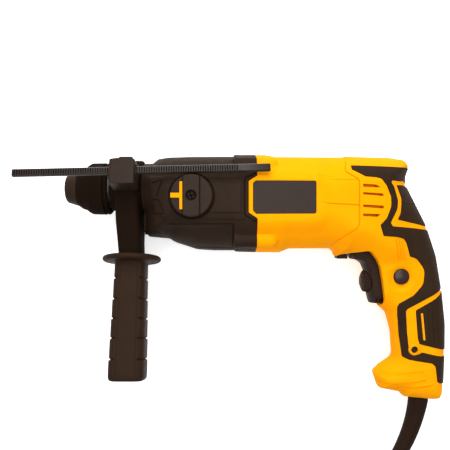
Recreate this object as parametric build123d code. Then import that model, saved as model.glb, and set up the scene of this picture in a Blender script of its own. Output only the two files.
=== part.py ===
from build123d import *
import os
from math import atan2, cos, degrees, pi, radians, sin, tan

# A corded pistol-grip rotary hammer, with its side handle, depth rod, lead and plug.
#
# Frame, in millimetres: the origin is on the spindle axis at the mouth of the tool socket.
# -X points out of the chuck, +Y is the hammer's top in use, and +Z points out of its left
# flank. The hammer is stored lying on its right flank, on the plane z = -FLANK.
# Outlines are lists of (first, second, corner radius).

# ---- driving dimensions ----
FLANK = 39.0            # half the width over the flanks
WALL = 3.0              # moulded wall
SKIN = 1.6              # rubber overmould
PLAY = 0.3              # gap between pieces that move past each other
RUNNING = 0.05          # radial clearance of a running fit

SOCKET_R = 5.0          # 10 mm tool shank
SOCKET_END = 46.0
NOSE_R, NOSE_END = 6.2, 2.0
HOLDER_R = 10.0
TUBE_R, TUBE_BORE = 15.0, 12.0
TUBE_START, TUBE_END = 62.0, 120.0
COLLAR_R = 22.0         # machined seat of the side handle
GEAR_FRONT, JOINT_X = 69.4, 168.4

MOTOR_Y = -12.4         # armature axis
SHAFT_R = 4.0
SHAFT_END = 259.0
PINION_TEETH, WHEEL_TEETH = 6, 33
DRIVE_TEETH, SPINDLE_TEETH = 11, 36
MOTOR_MODULE = 0.9
LAY_Y = MOTOR_Y - MOTOR_MODULE * (PINION_TEETH + WHEEL_TEETH) / 2     # intermediate shaft
DRIVE_MODULE = -2 * LAY_Y / (DRIVE_TEETH + SPINDLE_TEETH)
WOBBLE_X, WOBBLE_TILT = 133.5, 12.0
PISTON_BORE = 8.5
PISTON_PIN_X = WOBBLE_X + LAY_Y * tan(radians(WOBBLE_TILT))

KNOB_X, KNOB_Y, KNOB_R = 113.7, -8.2, 17.3
BUTTON_X, BUTTON_Y, BUTTON_R = 294.2, -77.2, 6.6
DIAL_Y, DIAL_R = -82.7, 9.6
HANDLE_SCREWS = [(305.5, -140.4), (283.0, -30.0), (288.0, -170.0)]
HOUSING_SCREWS = [(23.5, 22.0), (23.5, -22.0), (-49.5, 22.0), (-49.5, -22.0)]

HANDLE_SWING = -12.0    # side handle's turn about the spindle axis
GRIP_X = 60.0
BRACKET_FRONT, BRACKET_BACK = 47.2, 68.6
FLANGE_TOP, GRIP_BOTTOM = 61.4, 166.0
ROD_Y, ROD_Z = 3.1, 43.7        # in the handle's own frame
ROD_START, ROD_END = -33.0, 178.8
ROD_THICK = 6.8
ROD_SLOPE = 1.35

CORD_D = 8.0
COIL_X, COIL_Y, COIL_R = 238.0, -319.0, 44.0
COIL_WIDE, COIL_HIGH = 24.0, 28.8
BOOT_X, BOOT_Y, BOOT_LENGTH = 315.1, -188.0, 56.0
BOOT_HEADING, BOOT_BEND = 8.0, 0.418     # degrees from -Y, and degrees per millimetre

LEAD_ROUTE = [(296.2, -240.6, 0), (284.8, -262, -3.5), (279.4, -290, -9.5), (278, -319, -14)]
TAIL_ROUTE = [(238, -371, -35), (216, -370.5, -35), (195, -366, -35), (178, -356, -33),
              (164, -342.5, -29)]

# ---- side outlines (x, y, corner radius) ----
SEAM = [(247, 28.8, 0), (243, 12.4, 2), (252, 6.2, 2), (253.2, 4.4, 1), (253.2, -31.5, 3),
        (251.3, -35.4, 3), (233, -51, 0)]

GEAR_SIDE = [(GEAR_FRONT, 22.5, 1), (78, 23, 2), (82, 27, 3), (100, 28.2, 30), (148, 28.8, 0),
             (150, 30.3, 1), (JOINT_X, 30.3, 0), (JOINT_X, -56.8, 0), (151, -56.3, 1),
             (149, -55, 0), (116.7, -54.3, 20), (97.2, -48, 15), (91.4, -44.6, 4),
             (73.5, -43, 3), (70, -38, 3)]

MOTOR_SIDE = [(JOINT_X, 30.3, 0), (177, 30.2, 3), (187, 28.6, 6), *SEAM,
              (235.5, -53.5, 0), (198, -53.6, 5), (190, -57, 3), (JOINT_X, -56.8, 0)]

HANDLE_SIDE = [SEAM[0], (287, 27.7, 30), (301.6, 25.4, 5), (304.4, 19.3, 2),
               (301.2, 10, 6), (301, 4, 8), (319.5, -32.3, 25), (328.6, -59.7, 40),
               (334, -91.8, 60), (336.9, -119.3, 60), (336.7, -145, 60), (334.9, -187.9, 7),
               (300.5, -185.3, 5), (296.5, -180.9, 3), (277, -177.4, 4), (274.6, -163.5, 5),
               (291.8, -150, 8), (290.5, -128, 30), (286, -110.5, 12), (278, -104, 2),
               (280.5, -99, 2), (278.2, -81, 20), (274, -63.5, 6), (267, -54.7, 4),
               (247, -57.9, 3), (242.8, -60.1, 1), (239.5, -60.1, 1), (235.5, -53.5, 0),
               *reversed(SEAM[1:])]

# ---- sections across the body (y, z, corner radius), upper half first ----
GEAR_SECTION = [(30.5, 19, 8), (22, 33, 8), (4, FLANK, 4), (-27, FLANK, 4), (-45, 33, 10),
                (-57, 19, 8)]
MOTOR_SECTION = [(30.5, 19, 8), (22, 32, 10), (6, 38, 6), (-30, 38, 6), (-46, 32, 10),
                 (-57.1, 19, 8)]
HANDLE_SECTION = [(29.2, 18, 8), (22, 30, 10), (6, 37.4, 12), (-32, 37.4, 12),
                  (-52, 30, 12), (-64, 20, 10), (-84, 18.6, 20), (-150, 18, 20),
                  (-166, 20.5, 6), (-188.5, 19.5, 3)]

# ---- plan outlines (x, z, corner radius), left flank only ----
GEAR_PLAN = [(GEAR_FRONT, 26, 3), (79, 32, 4), (91, FLANK, 6), (JOINT_X, FLANK, 0)]
MOTOR_PLAN = [(JOINT_X, 38.2, 0), (256, 37.6, 0)]
HANDLE_PLAN = [(230, 37.4, 0), (256, 37.4, 14), (284, 31, 16), (301, 22.5, 14),
               (322, 19.5, 12), (337.5, 11.5, 4)]

# ---- rubber pads on each handle shell (x, y, corner radius) ----
UPPER_PAD = [(249, 18.2, 1), (252, 12.5, 2), (258.4, 7.7, 3), (270, 6.4, 4),
             (277, -1, 8), (280.4, -13, 12), (277, -25, 8), (270.9, -32, 3), (273.8, -42, 3),
             (286, -42.9, 3), (283.4, -27.1, 8), (288, -14, 12), (285.4, -2.2, 6),
             (281, 4.8, 2), (291.3, 3.7, 2), (296, 6, 3), (312, 6.5, 0), (312, 18.4, 0), (290.6, 17.3, 1)]
BACK_PAD = [(286.3, 1.7, 1), (290.6, -14, 12), (286.7, -28.4, 1), (300.5, -30.3, 0),
            (325, -34.5, 0), (312, 4, 0)]
GRIP_PAD = [(286, -43.5, 0), (292.9, -44.3, 4), (296.5, -51, 6), (300.7, -61.4, 4),
            (310.5, -67, 9), (312.6, -77, 9), (306, -91.4, 10), (290.9, -100.4, 2),
            (290.3, -107, 3), (294.5, -143.8, 2), (300.7, -149.5, 2), (321.1, -153, 2),
            (325, -168.5, 3), (345, -172, 0), (345, -149.5, 0), (311, -142.3, 2),
            (305.5, -146, 3), (301, -141.5, 3), (298.6, -106.2, 1), (327.3, -90.6, 0),
            (345, -81.5, 0), (345, -40, 0), (326, -36, 0), (310.3, -35.9, 0), (300, -34.2, 2)]
RIB_PAD = [(306.3, -106.4, 1), (345, -84, 0), (345, -146, 0), (309.2, -135.8, 3)]
PADS = (UPPER_PAD, BACK_PAD, GRIP_PAD, RIB_PAD)


# ---- helpers ----
def inset_corners(outline, inset):
    """Moves every edge of a closed clockwise outline inward by inset."""
    moved = []
    for i, (u, v, r) in enumerate(outline):
        before, after = Vector(*outline[i - 1][:2]), Vector(*outline[(i + 1) % len(outline)][:2])
        here = Vector(u, v)
        a, b = (here - before).normalized(), (after - here).normalized()
        normal_a, normal_b = Vector(a.Y, -a.X), Vector(b.Y, -b.X)
        step = (normal_a + normal_b) * (inset / (1 + normal_a.dot(normal_b)))
        moved.append((u + step.X, v + step.Y, max(r - inset, 0)))
    return moved


def outline_face(outline, inset=0):
    """A face in the XY plane from (u, v, corner radius) points, clockwise."""
    points = inset_corners(outline, inset) if inset else outline
    return make_face(FilletPolyline(*[(u, v) for u, v, _ in points],
                                    radius=[r for _, _, r in points], close=True))


def mirrored(half):
    """Closes a left-flank outline with its mirror image."""
    return [(u, w, r) for u, w, r in half] + [(u, -w, r) for u, w, r in reversed(half)]


def prism_z(outline, low, high, inset=0):
    return extrude(Pos(0, 0, low) * outline_face(outline, inset), high - low)


def prism_x(outline, low, high, inset=0):
    """Extrudes a (y, z) outline along X."""
    face = outline_face([(-u, w, r) for u, w, r in outline], inset)
    return extrude(Plane((low, 0, 0), x_dir=(0, -1, 0), z_dir=(-1, 0, 0)) * face, low - high)


def prism_y(outline, low, high, inset=0):
    """Extrudes an (x, z) outline along Y."""
    face = outline_face(outline, inset)
    return extrude(Plane((0, high, 0), x_dir=(1, 0, 0), z_dir=(0, -1, 0)) * face, high - low)


def rod_x(low, high, r, y=0.0, z=0.0, bore=0.0):
    solid = Pos((low + high) / 2, y, z) * Rot(0, 90, 0) * Cylinder(r, high - low)
    if bore:
        solid -= rod_x(low - 1, high + 1, bore, y, z)
    return solid


def rod_y(low, high, r, x=0.0, z=0.0):
    return Pos(x, (low + high) / 2, z) * Rot(90, 0, 0) * Cylinder(r, high - low)


def rod_z(low, high, r, x=0.0, y=0.0):
    return Pos(x, y, (low + high) / 2) * Cylinder(r, high - low)


def block(x, y, z):
    """A box from its three (low, high) spans."""
    sizes = [high - low for low, high in (x, y, z)]
    centre = [(high + low) / 2 for low, high in (x, y, z)]
    return Pos(*centre) * Box(*sizes)


def turned_x(profile, y=0.0, z=0.0):
    """Revolves an (x, radius) profile about a line along X."""
    return Pos(0, y, z) * revolve(make_face(Polyline(*profile, close=True)), Axis.X)


def gear(teeth, module, low, high, y, bore, start=0.0):
    """A spur gear along X. The first tooth points up, turned by start degrees."""
    pitch_r = teeth * module / 2
    step = 360 / teeth
    profile = [(pitch_r - 1.25 * module, 0.31), (pitch_r, 0.225), (pitch_r + 0.9 * module, 0.12)]
    points = []
    for tooth in range(teeth):
        middle = start + tooth * step
        for r, share in profile:
            points.append((r, middle - share * step))
        for r, share in reversed(profile):
            points.append((r, middle + share * step))
    corners = [(r * cos(radians(a)), r * sin(radians(a))) for r, a in points]
    face = make_face(Polyline(*corners, close=True))
    solid = extrude(Plane((low, y, 0), x_dir=(0, 1, 0), z_dir=(1, 0, 0)) * face, high - low)
    return solid - rod_x(low - 1, high + 1, bore, y) if bore else solid


def coil_spring(length, r, wire_r, turns, place):
    """A compression spring along +Z before it is placed."""
    path = Helix(pitch=length / turns, height=length, radius=r)
    ring = Plane(origin=path @ 0, z_dir=path % 0) * Circle(wire_r)
    return place * sweep(ring, path=path, is_frenet=True)


def body_form(side, section, plan, inset=0):
    """A housing form: the solid common to its side, end and plan outlines."""
    reach = 60
    solid = prism_z(side, -reach, reach, inset)
    solid &= prism_x(mirrored(section), 60, 345, inset)
    return solid & prism_y(mirrored(plan), -195, 40, inset)


# ---- chuck and spindle ----
def spindle_parts():
    holder = turned_x([(0, SOCKET_R), (0, NOSE_R), (NOSE_END, NOSE_R), (NOSE_END, HOLDER_R),
                       (TUBE_START, HOLDER_R),
                       (TUBE_START, TUBE_R), (TUBE_END, TUBE_R), (TUBE_END, TUBE_BORE),
                       (TUBE_START + 4, TUBE_BORE), (TUBE_START + 4, 6), (SOCKET_END, 6),
                       (SOCKET_END, SOCKET_R)])
    holder -= rod_y(6.2, 20, 3.6, 21) + rod_y(3, 20, 2.5, 21)
    cap = turned_x([(0, NOSE_R), (0, 11), (1.2, 12.4), (9.6, 15.1), (10.9, 15.1),
                    (10.9, HOLDER_R), (NOSE_END, HOLDER_R), (NOSE_END, NOSE_R)])
    sleeve = turned_x([(11.4, 12.5), (11.4, 15.8), (14, 17.9), (19.5, 19.8), (20, 20.6),
                       (23.1, 23), (35, 23.2), (35.4, 22.5), (36.6, 22.5), (37, 23.2),
                       (38.2, 23.1), (39.7, 21.6), (39.7, 20.5), (31, 20.5), (31, 17.3),
                       (26, 17.3), (26, 12.5)])
    return {
        "tool_holder": holder,
        "dust_cap": cap,
        "locking_ball": Pos(21, 8.8, 0) * Sphere(3.5),
        "sleeve_washers": Compound(children=[rod_x(11.2, 14.2, 12.4, bore=HOLDER_R),
                                             rod_x(38, 40, 16.9, bore=HOLDER_R)]),
        "sleeve_spring": coil_spring(10.4, 15, 0.7, 4, Pos(26.8, 0, 0) * Rot(0, 90, 0)),
        "locking_sleeve": sleeve,
        "spindle_gear": gear(SPINDLE_TEETH, DRIVE_MODULE, 104, 115, 0, TUBE_R),
        "impact_bolt": turned_x([(50, 0), (50, 5.95), (68.4, 5.95), (68.4, 8), (72, 8),
                                 (72, 5), (74, 4), (74, 0)]),
    }


def hammer_parts():
    piston = rod_x(86, 121, TUBE_BORE - RUNNING) - rod_x(85, 116, PISTON_BORE)
    piston += block((120, 133), (-8, 8), (-9, 9)) & rod_x(120, 133, TUBE_BORE - RUNNING)
    piston -= block((121.6, 140), (-12, 12), (-5.2, 5.2)) + rod_z(-13, 13, 3, PISTON_PIN_X)
    striker = turned_x([(80, 0), (80, 4.5), (81, 5), (91, 5), (91, PISTON_BORE - RUNNING),
                        (106, PISTON_BORE - RUNNING), (106, 0)])
    return {"piston": piston, "striker": striker, "piston_pin": rod_z(-9, 9, 3, PISTON_PIN_X)}


# ---- gear train ----
def drive_parts():
    half_wheel = 180 / WHEEL_TEETH
    shaft = turned_x([(97.2, 0), (97.2, 4), (103, 4), (103, 5.2), (149, 5.2), (149, 5), (160, 5),
                      (160, 4), (168.2, 4), (168.2, 0)], y=LAY_Y)
    shaft += gear(DRIVE_TEETH, DRIVE_MODULE, 104, 115.5, LAY_Y, 0, start=180 / DRIVE_TEETH)
    tilt = Pos(WOBBLE_X, LAY_Y, 0) * Rot(0, 0, WOBBLE_TILT)
    hub = tilt * rod_x(-7, 7, 9.5) - rod_x(100, 160, 5.2 + RUNNING, LAY_Y)
    ring = tilt * (rod_x(-5, 5, 13.2, bore=9.5 + RUNNING) + rod_y(12.8, 26, 3.2))
    ring += rod_z(-5, 5, 5, PISTON_PIN_X)
    ring -= rod_z(-6, 6, 3 + RUNNING, PISTON_PIN_X)
    bearings = [rod_x(97, 103, 9, LAY_Y, bore=4 + RUNNING),
                rod_x(162.5, 168.2, 9, LAY_Y, bore=4 + RUNNING),
                rod_x(168.6, 175.6, 11, MOTOR_Y, bore=SHAFT_R),
                rod_x(253.5, 259.5, 9.5, MOTOR_Y, bore=SHAFT_R)]
    armature = rod_x(160, SHAFT_END, SHAFT_R - RUNNING, MOTOR_Y)
    armature += gear(PINION_TEETH, MOTOR_MODULE, 149.5, 160, MOTOR_Y, 0, start=0)
    return {
        "intermediate_shaft": shaft,
        "intermediate_gear": gear(WHEEL_TEETH, MOTOR_MODULE, 150, 158.5, LAY_Y, 5, half_wheel),
        "wobble_hub": hub,
        "wobble_ring": ring,
        "ball_bearings": Compound(children=bearings),
        "armature_shaft": armature,
    }


# ---- motor ----
def motor_parts():
    core = rod_x(192, 228, 18.5, MOTOR_Y, bore=SHAFT_R - RUNNING)
    for slot in range(12):
        angle = radians(30 * slot)
        core -= rod_x(191, 229, 1.8, MOTOR_Y + 18.2 * cos(angle), 18.2 * sin(angle))
    fan = rod_x(178.5, 180.2, 31.5, MOTOR_Y) + rod_x(178.5, 186, 8, MOTOR_Y)
    for blade in range(11):
        turn = Pos(0, MOTOR_Y, 0) * Rot(360 / 11 * blade, 0, 0)
        fan += turn * block((180, 186.5), (7, 31), (-0.8, 0.8))
    fan -= rod_x(170, 190, SHAFT_R - RUNNING, MOTOR_Y)
    stator = rod_x(190, 230, 35, MOTOR_Y, bore=19.1)
    stator -= block((189, 231), (MOTOR_Y + 25, MOTOR_Y + 40), (-8, 8))
    stator -= block((189, 231), (MOTOR_Y - 40, MOTOR_Y - 25), (-8, 8))
    holders, brushes = [], []
    for side in (1, -1):
        low, high = sorted((MOTOR_Y + side * 12, MOTOR_Y + side * 31))
        holder = block((234.5, 246.5), (low, high), (-6, 6))
        holders.append(holder - block((237, 244), (low - 1, high + 1), (-4, 4)))
        inner, outer = sorted((MOTOR_Y + side * 11.3, MOTOR_Y + side * 24))
        brushes.append(block((237, 244), (inner, outer), (-4, 4)))
    return {
        "armature_core": core,
        "commutator": rod_x(234, 247, 11, MOTOR_Y, bore=SHAFT_R - RUNNING),
        "cooling_fan": fan,
        "stator": stator,
        "brush_holders": Compound(children=holders),
        "carbon_brushes": Compound(children=brushes),
    }


# ---- housings ----
TONGUE = [(160.5, 4.2, 0), (165.5, 7.2, 1), (219.5, 7.4, 4), (221.5, 4, 4), (221.5, -23, 4),
          (219, -26.6, 4), (165, -26, 1), (160.5, -22, 0)]
LABEL = [(164.2, 2.4, 0), (166.8, 4.8, 0), (217.5, 4.6, 2), (217.5, -23.2, 2), (167, -23.4, 0),
         (164.2, -20.6, 0)]
LABEL_THICK = 1.0


def flank_prisms(outline, low, high):
    """The same outline on both flanks, between two distances from the middle plane."""
    return prism_z(outline, low, high) + prism_z(outline, -high, -low)


def housing_parts():
    gear_box = body_form(GEAR_SIDE, GEAR_SECTION, GEAR_PLAN)
    room = body_form(GEAR_SIDE, GEAR_SECTION, GEAR_PLAN, WALL)
    cavity = room & block((81, 166), (-60, 40), (-50, 50))
    cavity += prism_x(mirrored(GEAR_SECTION), 160, 170, WALL)
    web = room & block((116.5, 121.5), (-60, 40), (-50, 50))
    gear_box = gear_box - cavity + web
    gear_box += turned_x([(40.5, 0), (40.5, 19.4), (41, 19.8), (46.6, 19.8), (46.8, COLLAR_R),
                          (84, COLLAR_R), (84, 0)])
    gear_box += rod_x(80, 104, 12, LAY_Y) & body_form(GEAR_SIDE, GEAR_SECTION, GEAR_PLAN)
    gear_box += rod_z(FLANK - 3, 40.2, 18.3, KNOB_X, KNOB_Y)
    for y, z in HOUSING_SCREWS:
        gear_box += rod_x(150, JOINT_X, 6, y, z) & body_form(GEAR_SIDE, GEAR_SECTION, GEAR_PLAN)
        gear_box -= rod_x(154, 170, 2.05, y, z)
    gear_box -= rod_x(40, 48, 13.5) + rod_x(47, TUBE_START, 16) + rod_x(61, 90, 17)
    gear_box -= rod_x(110, 130, 18) + rod_x(103.5, 130, 10, LAY_Y) + rod_x(97, 105, 9, LAY_Y)
    gear_box -= rod_z(30, 45, 9, KNOB_X, KNOB_Y)
    gear_box -= flank_prisms(TONGUE, FLANK - 2.2, FLANK + 1)

    plate = prism_x(mirrored(GEAR_SECTION), 162, JOINT_X, WALL)
    plate += rod_x(162, 176, 14, MOTOR_Y)
    plate -= rod_x(JOINT_X, 177, 11, MOTOR_Y) + rod_x(161, 170, 5.4, MOTOR_Y)
    plate -= rod_x(161, 170, 9, LAY_Y)
    for y, z in HOUSING_SCREWS:
        plate -= rod_x(161, 170, 6.05, y, z)

    motor = body_form(MOTOR_SIDE, MOTOR_SECTION, MOTOR_PLAN)
    inside = prism_x(mirrored(MOTOR_SECTION), 160, 249, WALL)
    inside &= prism_z([(160, 25.6, 0), (249, 25.6, 0), (249, -38, 0), (234, -50.4, 0),
                       (160, -50.4, 0)], -50, 50)
    motor -= inside
    motor += rod_x(248, 261.5, 13, MOTOR_Y)
    motor -= rod_x(247, 259.5, 9.5, MOTOR_Y)
    motor += (flank_prisms(TONGUE, FLANK - 2.2, FLANK) & block((160, 222), (-60, 40), (-60, 60)))
    motor -= flank_prisms(LABEL, FLANK - 0.6 - LABEL_THICK, FLANK + 1)
    for y, z in HOUSING_SCREWS:
        motor += rod_x(JOINT_X, 187, 6, y, z) & body_form(MOTOR_SIDE, MOTOR_SECTION, MOTOR_PLAN)
        motor -= rod_x(160, 188, 2.05, y, z) + rod_x(187, 200, 4.2, y, z)
    screws = []
    for y, z in HOUSING_SCREWS:
        screws.append(rod_x(154, 187, 2, y, z) + rod_x(187, 191, 4, y, z))
    label_bottom = FLANK - 0.6 - LABEL_THICK
    return {
        "gear_housing": gear_box,
        "bearing_plate": plate,
        "motor_housing": motor,
        "housing_screws": Compound(children=screws),
        "label_plates": flank_prisms(LABEL, label_bottom, label_bottom + LABEL_THICK),
        "front_bearing": rod_x(48, TUBE_START, 16, bore=HOLDER_R + RUNNING),
        "oil_seal": rod_x(42.5, 47.5, 13.5, bore=HOLDER_R + RUNNING),
        "tube_bearing": rod_x(116.5, 121.5, 18, bore=TUBE_R + RUNNING),
    }


# ---- mode knob ----
def knob_parts():
    top = 47.0
    knob = rod_z(40.6, 43.6, KNOB_R, KNOB_X, KNOB_Y) + rod_z(34, 41, 8.6, KNOB_X, KNOB_Y)
    bar = block((KNOB_X - 6.9, KNOB_X + 6.9), (KNOB_Y - 20, KNOB_Y + 20), (43, top))
    knob += bar & rod_z(43, top, KNOB_R, KNOB_X, KNOB_Y)
    knob -= rod_z(top - 2.4, top + 1, 4.2, KNOB_X, KNOB_Y) + rod_z(36, top, 1.6, KNOB_X, KNOB_Y)
    left = KNOB_X - 6.9
    pointer = block((left - 2.6, left - 0.2), (KNOB_Y - 11.4, KNOB_Y + 11.4), (43.6, 45.4))
    pointer += block((left - 10, left - 2), (KNOB_Y - 1.9, KNOB_Y + 2.1), (43.6, 45.4))
    pointer &= rod_z(43, 46, KNOB_R, KNOB_X, KNOB_Y)
    screw = rod_z(36.5, 45, 1.6, KNOB_X, KNOB_Y) + rod_z(44.6, 46.4, 2.8, KNOB_X, KNOB_Y)
    for angle in (0, 90):
        screw -= Pos(KNOB_X, KNOB_Y, 46.2) * Rot(0, 0, angle) * Box(3.6, 0.7, 1.2)
    return {"mode_knob": knob, "knob_pointer": pointer, "knob_screw": screw}


# ---- rear handle ----
def handle_parts():
    outer = body_form(HANDLE_SIDE, HANDLE_SECTION, HANDLE_PLAN)
    skin_inside = body_form(HANDLE_SIDE, HANDLE_SECTION, HANDLE_PLAN, SKIN)
    hollow = body_form(HANDLE_SIDE, HANDLE_SECTION, HANDLE_PLAN, WALL)
    skin = outer - skin_inside
    shell = outer - hollow
    for x, y in HANDLE_SCREWS:
        shell += rod_z(-30, 30, 5, x, y) & outer
    shell -= block((230, 257), (-46, 25.4), (-34, 34)) + rod_x(245, 263, 13 + PLAY, MOTOR_Y)
    trigger_slot = block((250, 297), (-104.5, -55.6), (-11.6, 11.6))
    lever_slot = block((241, 251.2), (-62, -50), (-8.5, 8.5))
    shell -= trigger_slot + lever_slot + block((240, 252), (-62, -57.6), (-13, 13))
    shell -= rod_y(-192, -160, 8.7, BOOT_X) + rod_y(-182.5, -170, 10.7, BOOT_X)
    shell -= rod_z(5, 30, BUTTON_R + PLAY, BUTTON_X, BUTTON_Y)
    parts = {}
    screw_x, screw_y = HANDLE_SCREWS[0]
    for name, low, high in (("left", 0, 60), ("right", -60, 0)):
        half = block((225, 345), (-195, 40), (low, high))
        pads = Compound(children=[prism_z(pad, low, high) for pad in PADS])
        rubber = (skin & half) & pads
        rubber -= trigger_slot
        shell_half = (shell & half) - rubber
        if name == "left":
            shell_half -= rod_z(-1, 60, 2, screw_x, screw_y) + rod_z(14, 30, 3.3, screw_x, screw_y)
        parts[f"handle_{name}_shell"] = shell_half
        parts[f"{name}_rubber"] = rubber
    screws = []
    for i, (x, y) in enumerate(HANDLE_SCREWS):
        side = 1 if i == 0 else -1
        low, high = sorted((-side * 13, side * 14))
        screw = rod_z(low, high, 2, x, y)
        head_low, head_high = sorted((side * 14, side * 16.4))
        screw += rod_z(head_low, head_high, 3.2, x, y)
        screws.append(screw)
        for half in ("left", "right"):
            parts[f"handle_{half}_shell"] -= screw
    parts["handle_screws"] = Compound(children=screws)
    return parts


# ---- controls ----
def control_parts():
    trigger = prism_z([(253, -62.5, 1), (253, -58, 0), (279.5, -58, 0), (279.5, -102, 0),
                       (270.4, -102, 1.5), (268.3, -93, 6), (265.6, -72, 6), (263, -66.4, 4),
                       (259, -63.6, 3)], -11, 11)
    trigger += block((279, 287), (-98, -60), (-6, 6))
    trigger -= rod_x(255, 271, DIAL_R + PLAY, DIAL_Y)
    dial = turned_x([(262.6, 0), (263, 4.6), (264.8, 8.8), (265.6, DIAL_R), (270.6, DIAL_R),
                     (270.6, 0)], y=DIAL_Y)
    for tooth in range(24):
        angle = radians(15 * tooth)
        dial -= rod_x(264, 271, 0.6, DIAL_Y + DIAL_R * cos(angle), DIAL_R * sin(angle))
    lever = block((241, 250.4), (-62.4, -58.3), (-6, 6))
    lever += block((243.5, 249.5), (-59, -49), (-2.5, 2.5))
    lever += block((243.5, 268), (-51.4, -49), (-2.5, 2.5)) + rod_y(-51.4, -44, 4, 268)
    button = rod_z(12, 20.6, BUTTON_R, BUTTON_X, BUTTON_Y) + rod_z(12, 13.4, 8, BUTTON_X, BUTTON_Y)
    switch = block((296, 318), (-100, -63), (-8, 8)) + block((290.8, 296.2), (-76, -68), (-4, 4))
    switch -= block((286, 294), (-77, -67), (-6.3, 6.3))
    clamp = block((305, 326), (-160, -154), (-9, 9))
    return {
        "trigger": trigger,
        "speed_dial": dial,
        "reverse_lever": lever,
        "lock_button": button,
        "trigger_spring": coil_spring(7, 3.4, 0.5, 4, Pos(287.9, -88, 0) * Rot(0, 90, 0)),
        "switch_body": switch,
        "capacitor": block((262.5, 280), (-2, 14), (-8, 8)),
        "cable_clamp": clamp - rod_y(-165, -150, CORD_D / 2, BOOT_X),
    }


# ---- side handle, in its own frame: the grip hangs along -Y ----
def side_handle_parts():
    ring_r = 29.0
    bracket = rod_x(BRACKET_FRONT, 58.4, ring_r) + rod_x(BRACKET_FRONT, BRACKET_BACK, 25.2)
    levels = [(8, 57.3, 20, 57), (34, 58.0, 20.4, 42), (47, 58.8, 20, 33),
              (FLANGE_TOP - 0.2, GRIP_X, 20, 27)]
    sections = []
    for drop, x, wide, deep in levels:
        place = Plane((x, -drop, 0), x_dir=(1, 0, 0), z_dir=(0, -1, 0))
        sections.append(place * RectangleRounded(wide, deep, 5))
    bracket += loft(sections, ruled=True)
    bracket += prism_y([(BRACKET_FRONT, 51, 1), (BRACKET_BACK - 0.4, 51, 1), (BRACKET_BACK, 24, 0),
                        (BRACKET_FRONT, 24, 0)], -9.6, 11.2)
    band_groove = rod_x(53, 66, 23.4)
    bolt_hole = rod_y(-80, -20, 4.1, GRIP_X)
    rod_line = Pos(57.3, ROD_Y, ROD_Z) * Rot(0, 0, ROD_SLOPE)
    bracket -= rod_x(40, 80, COLLAR_R + RUNNING) + band_groove + bolt_hole
    bracket -= block((GRIP_X - 6.6, GRIP_X + 6.6), (-42, -20), (-7.2, 7.2))
    bracket -= rod_line * rod_x(-30, 30, ROD_THICK / 2 + 0.1)

    band = rod_x(53.2, 65.8, 23.3, bore=COLLAR_R + RUNNING)
    band += block((53.6, 65.8), (-33, -23), (-6.8, 6.8)) - rod_x(50, 70, 23)
    bolt = rod_y(-78, -23.5, 4, GRIP_X) + rod_y(-40, -33, 6.2, GRIP_X)
    band -= bolt

    grip_axis = Plane((GRIP_X, 0, 0), x_dir=(1, 0, 0), z_dir=(0, -1, 0))
    top, bottom = -FLANGE_TOP, -FLANGE_TOP - 4.8
    rim = FilletPolyline((0, top), (25.3, top), (25.3, bottom), (0, bottom), radius=[0, 2.3, 2.3, 0],
                         close=True)
    flange = Pos(GRIP_X, 0, 0) * revolve(make_face(rim), Axis.Y)
    shaft = loft([grip_axis.offset(65) * RectangleRounded(27.4, 28, 8),
                  grip_axis.offset(110) * RectangleRounded(29.4, 29.6, 8),
                  grip_axis.offset(GRIP_BOTTOM) * RectangleRounded(31.6, 31.4, 8)])
    shaft = fillet(shaft.faces().sort_by(Axis.Y)[0].edges(), 4)
    grip = flange + shaft
    grip -= rod_y(-110, -50, 4.1, GRIP_X) + rod_y(-80, -70, 7.5, GRIP_X)
    nut = rod_y(-79.8, -70.2, 7.4, GRIP_X) - rod_y(-90, -60, 4.02, GRIP_X)

    rod = rod_line * rod_x(ROD_START - 57.3, ROD_END - 57.3, ROD_THICK / 2)
    placed = {"handle_bracket": bracket, "clamp_band": band, "clamp_bolt": bolt, "side_grip": grip,
              "grip_nut": nut, "depth_rod": rod}
    return {name: Rot(HANDLE_SWING, 0, 0) * solid for name, solid in placed.items()}


# ---- boot, lead, coil and plug ----
def boot_point(s):
    """The boot's middle line: position and heading at s millimetres from the foot."""
    steps = 40
    x, y = BOOT_X, BOOT_Y
    for i in range(steps):
        heading = radians(BOOT_HEADING + BOOT_BEND * s * (i + 0.5) / steps)
        x -= sin(heading) * s / steps
        y -= cos(heading) * s / steps
    heading = radians(BOOT_HEADING + BOOT_BEND * s)
    return (x, y, 0), (-sin(heading), -cos(heading), 0)


def cord_tube(route):
    """Straight runs joined by the largest tangent arcs."""
    points = [Vector(*p) for p in route]
    radii = []
    for before, here, after in zip(points, points[1:], points[2:]):
        run_in, run_out = here - before, after - here
        turn = radians(run_in.get_angle(run_out))
        radii.append(0.45 * min(run_in.length, run_out.length) / tan(turn / 2))
    path = FilletPolyline(*points, radius=radii)
    tube = sweep(Plane(origin=path @ 0, z_dir=path % 0) * Circle(CORD_D / 2), path=path)
    ratio = tube.volume / (pi * CORD_D**2 / 4 * path.length)
    print(f"tube {path.length:.1f} mm, radii {[round(r) for r in radii]}, volume ratio {ratio:.4f}")
    return tube


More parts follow.
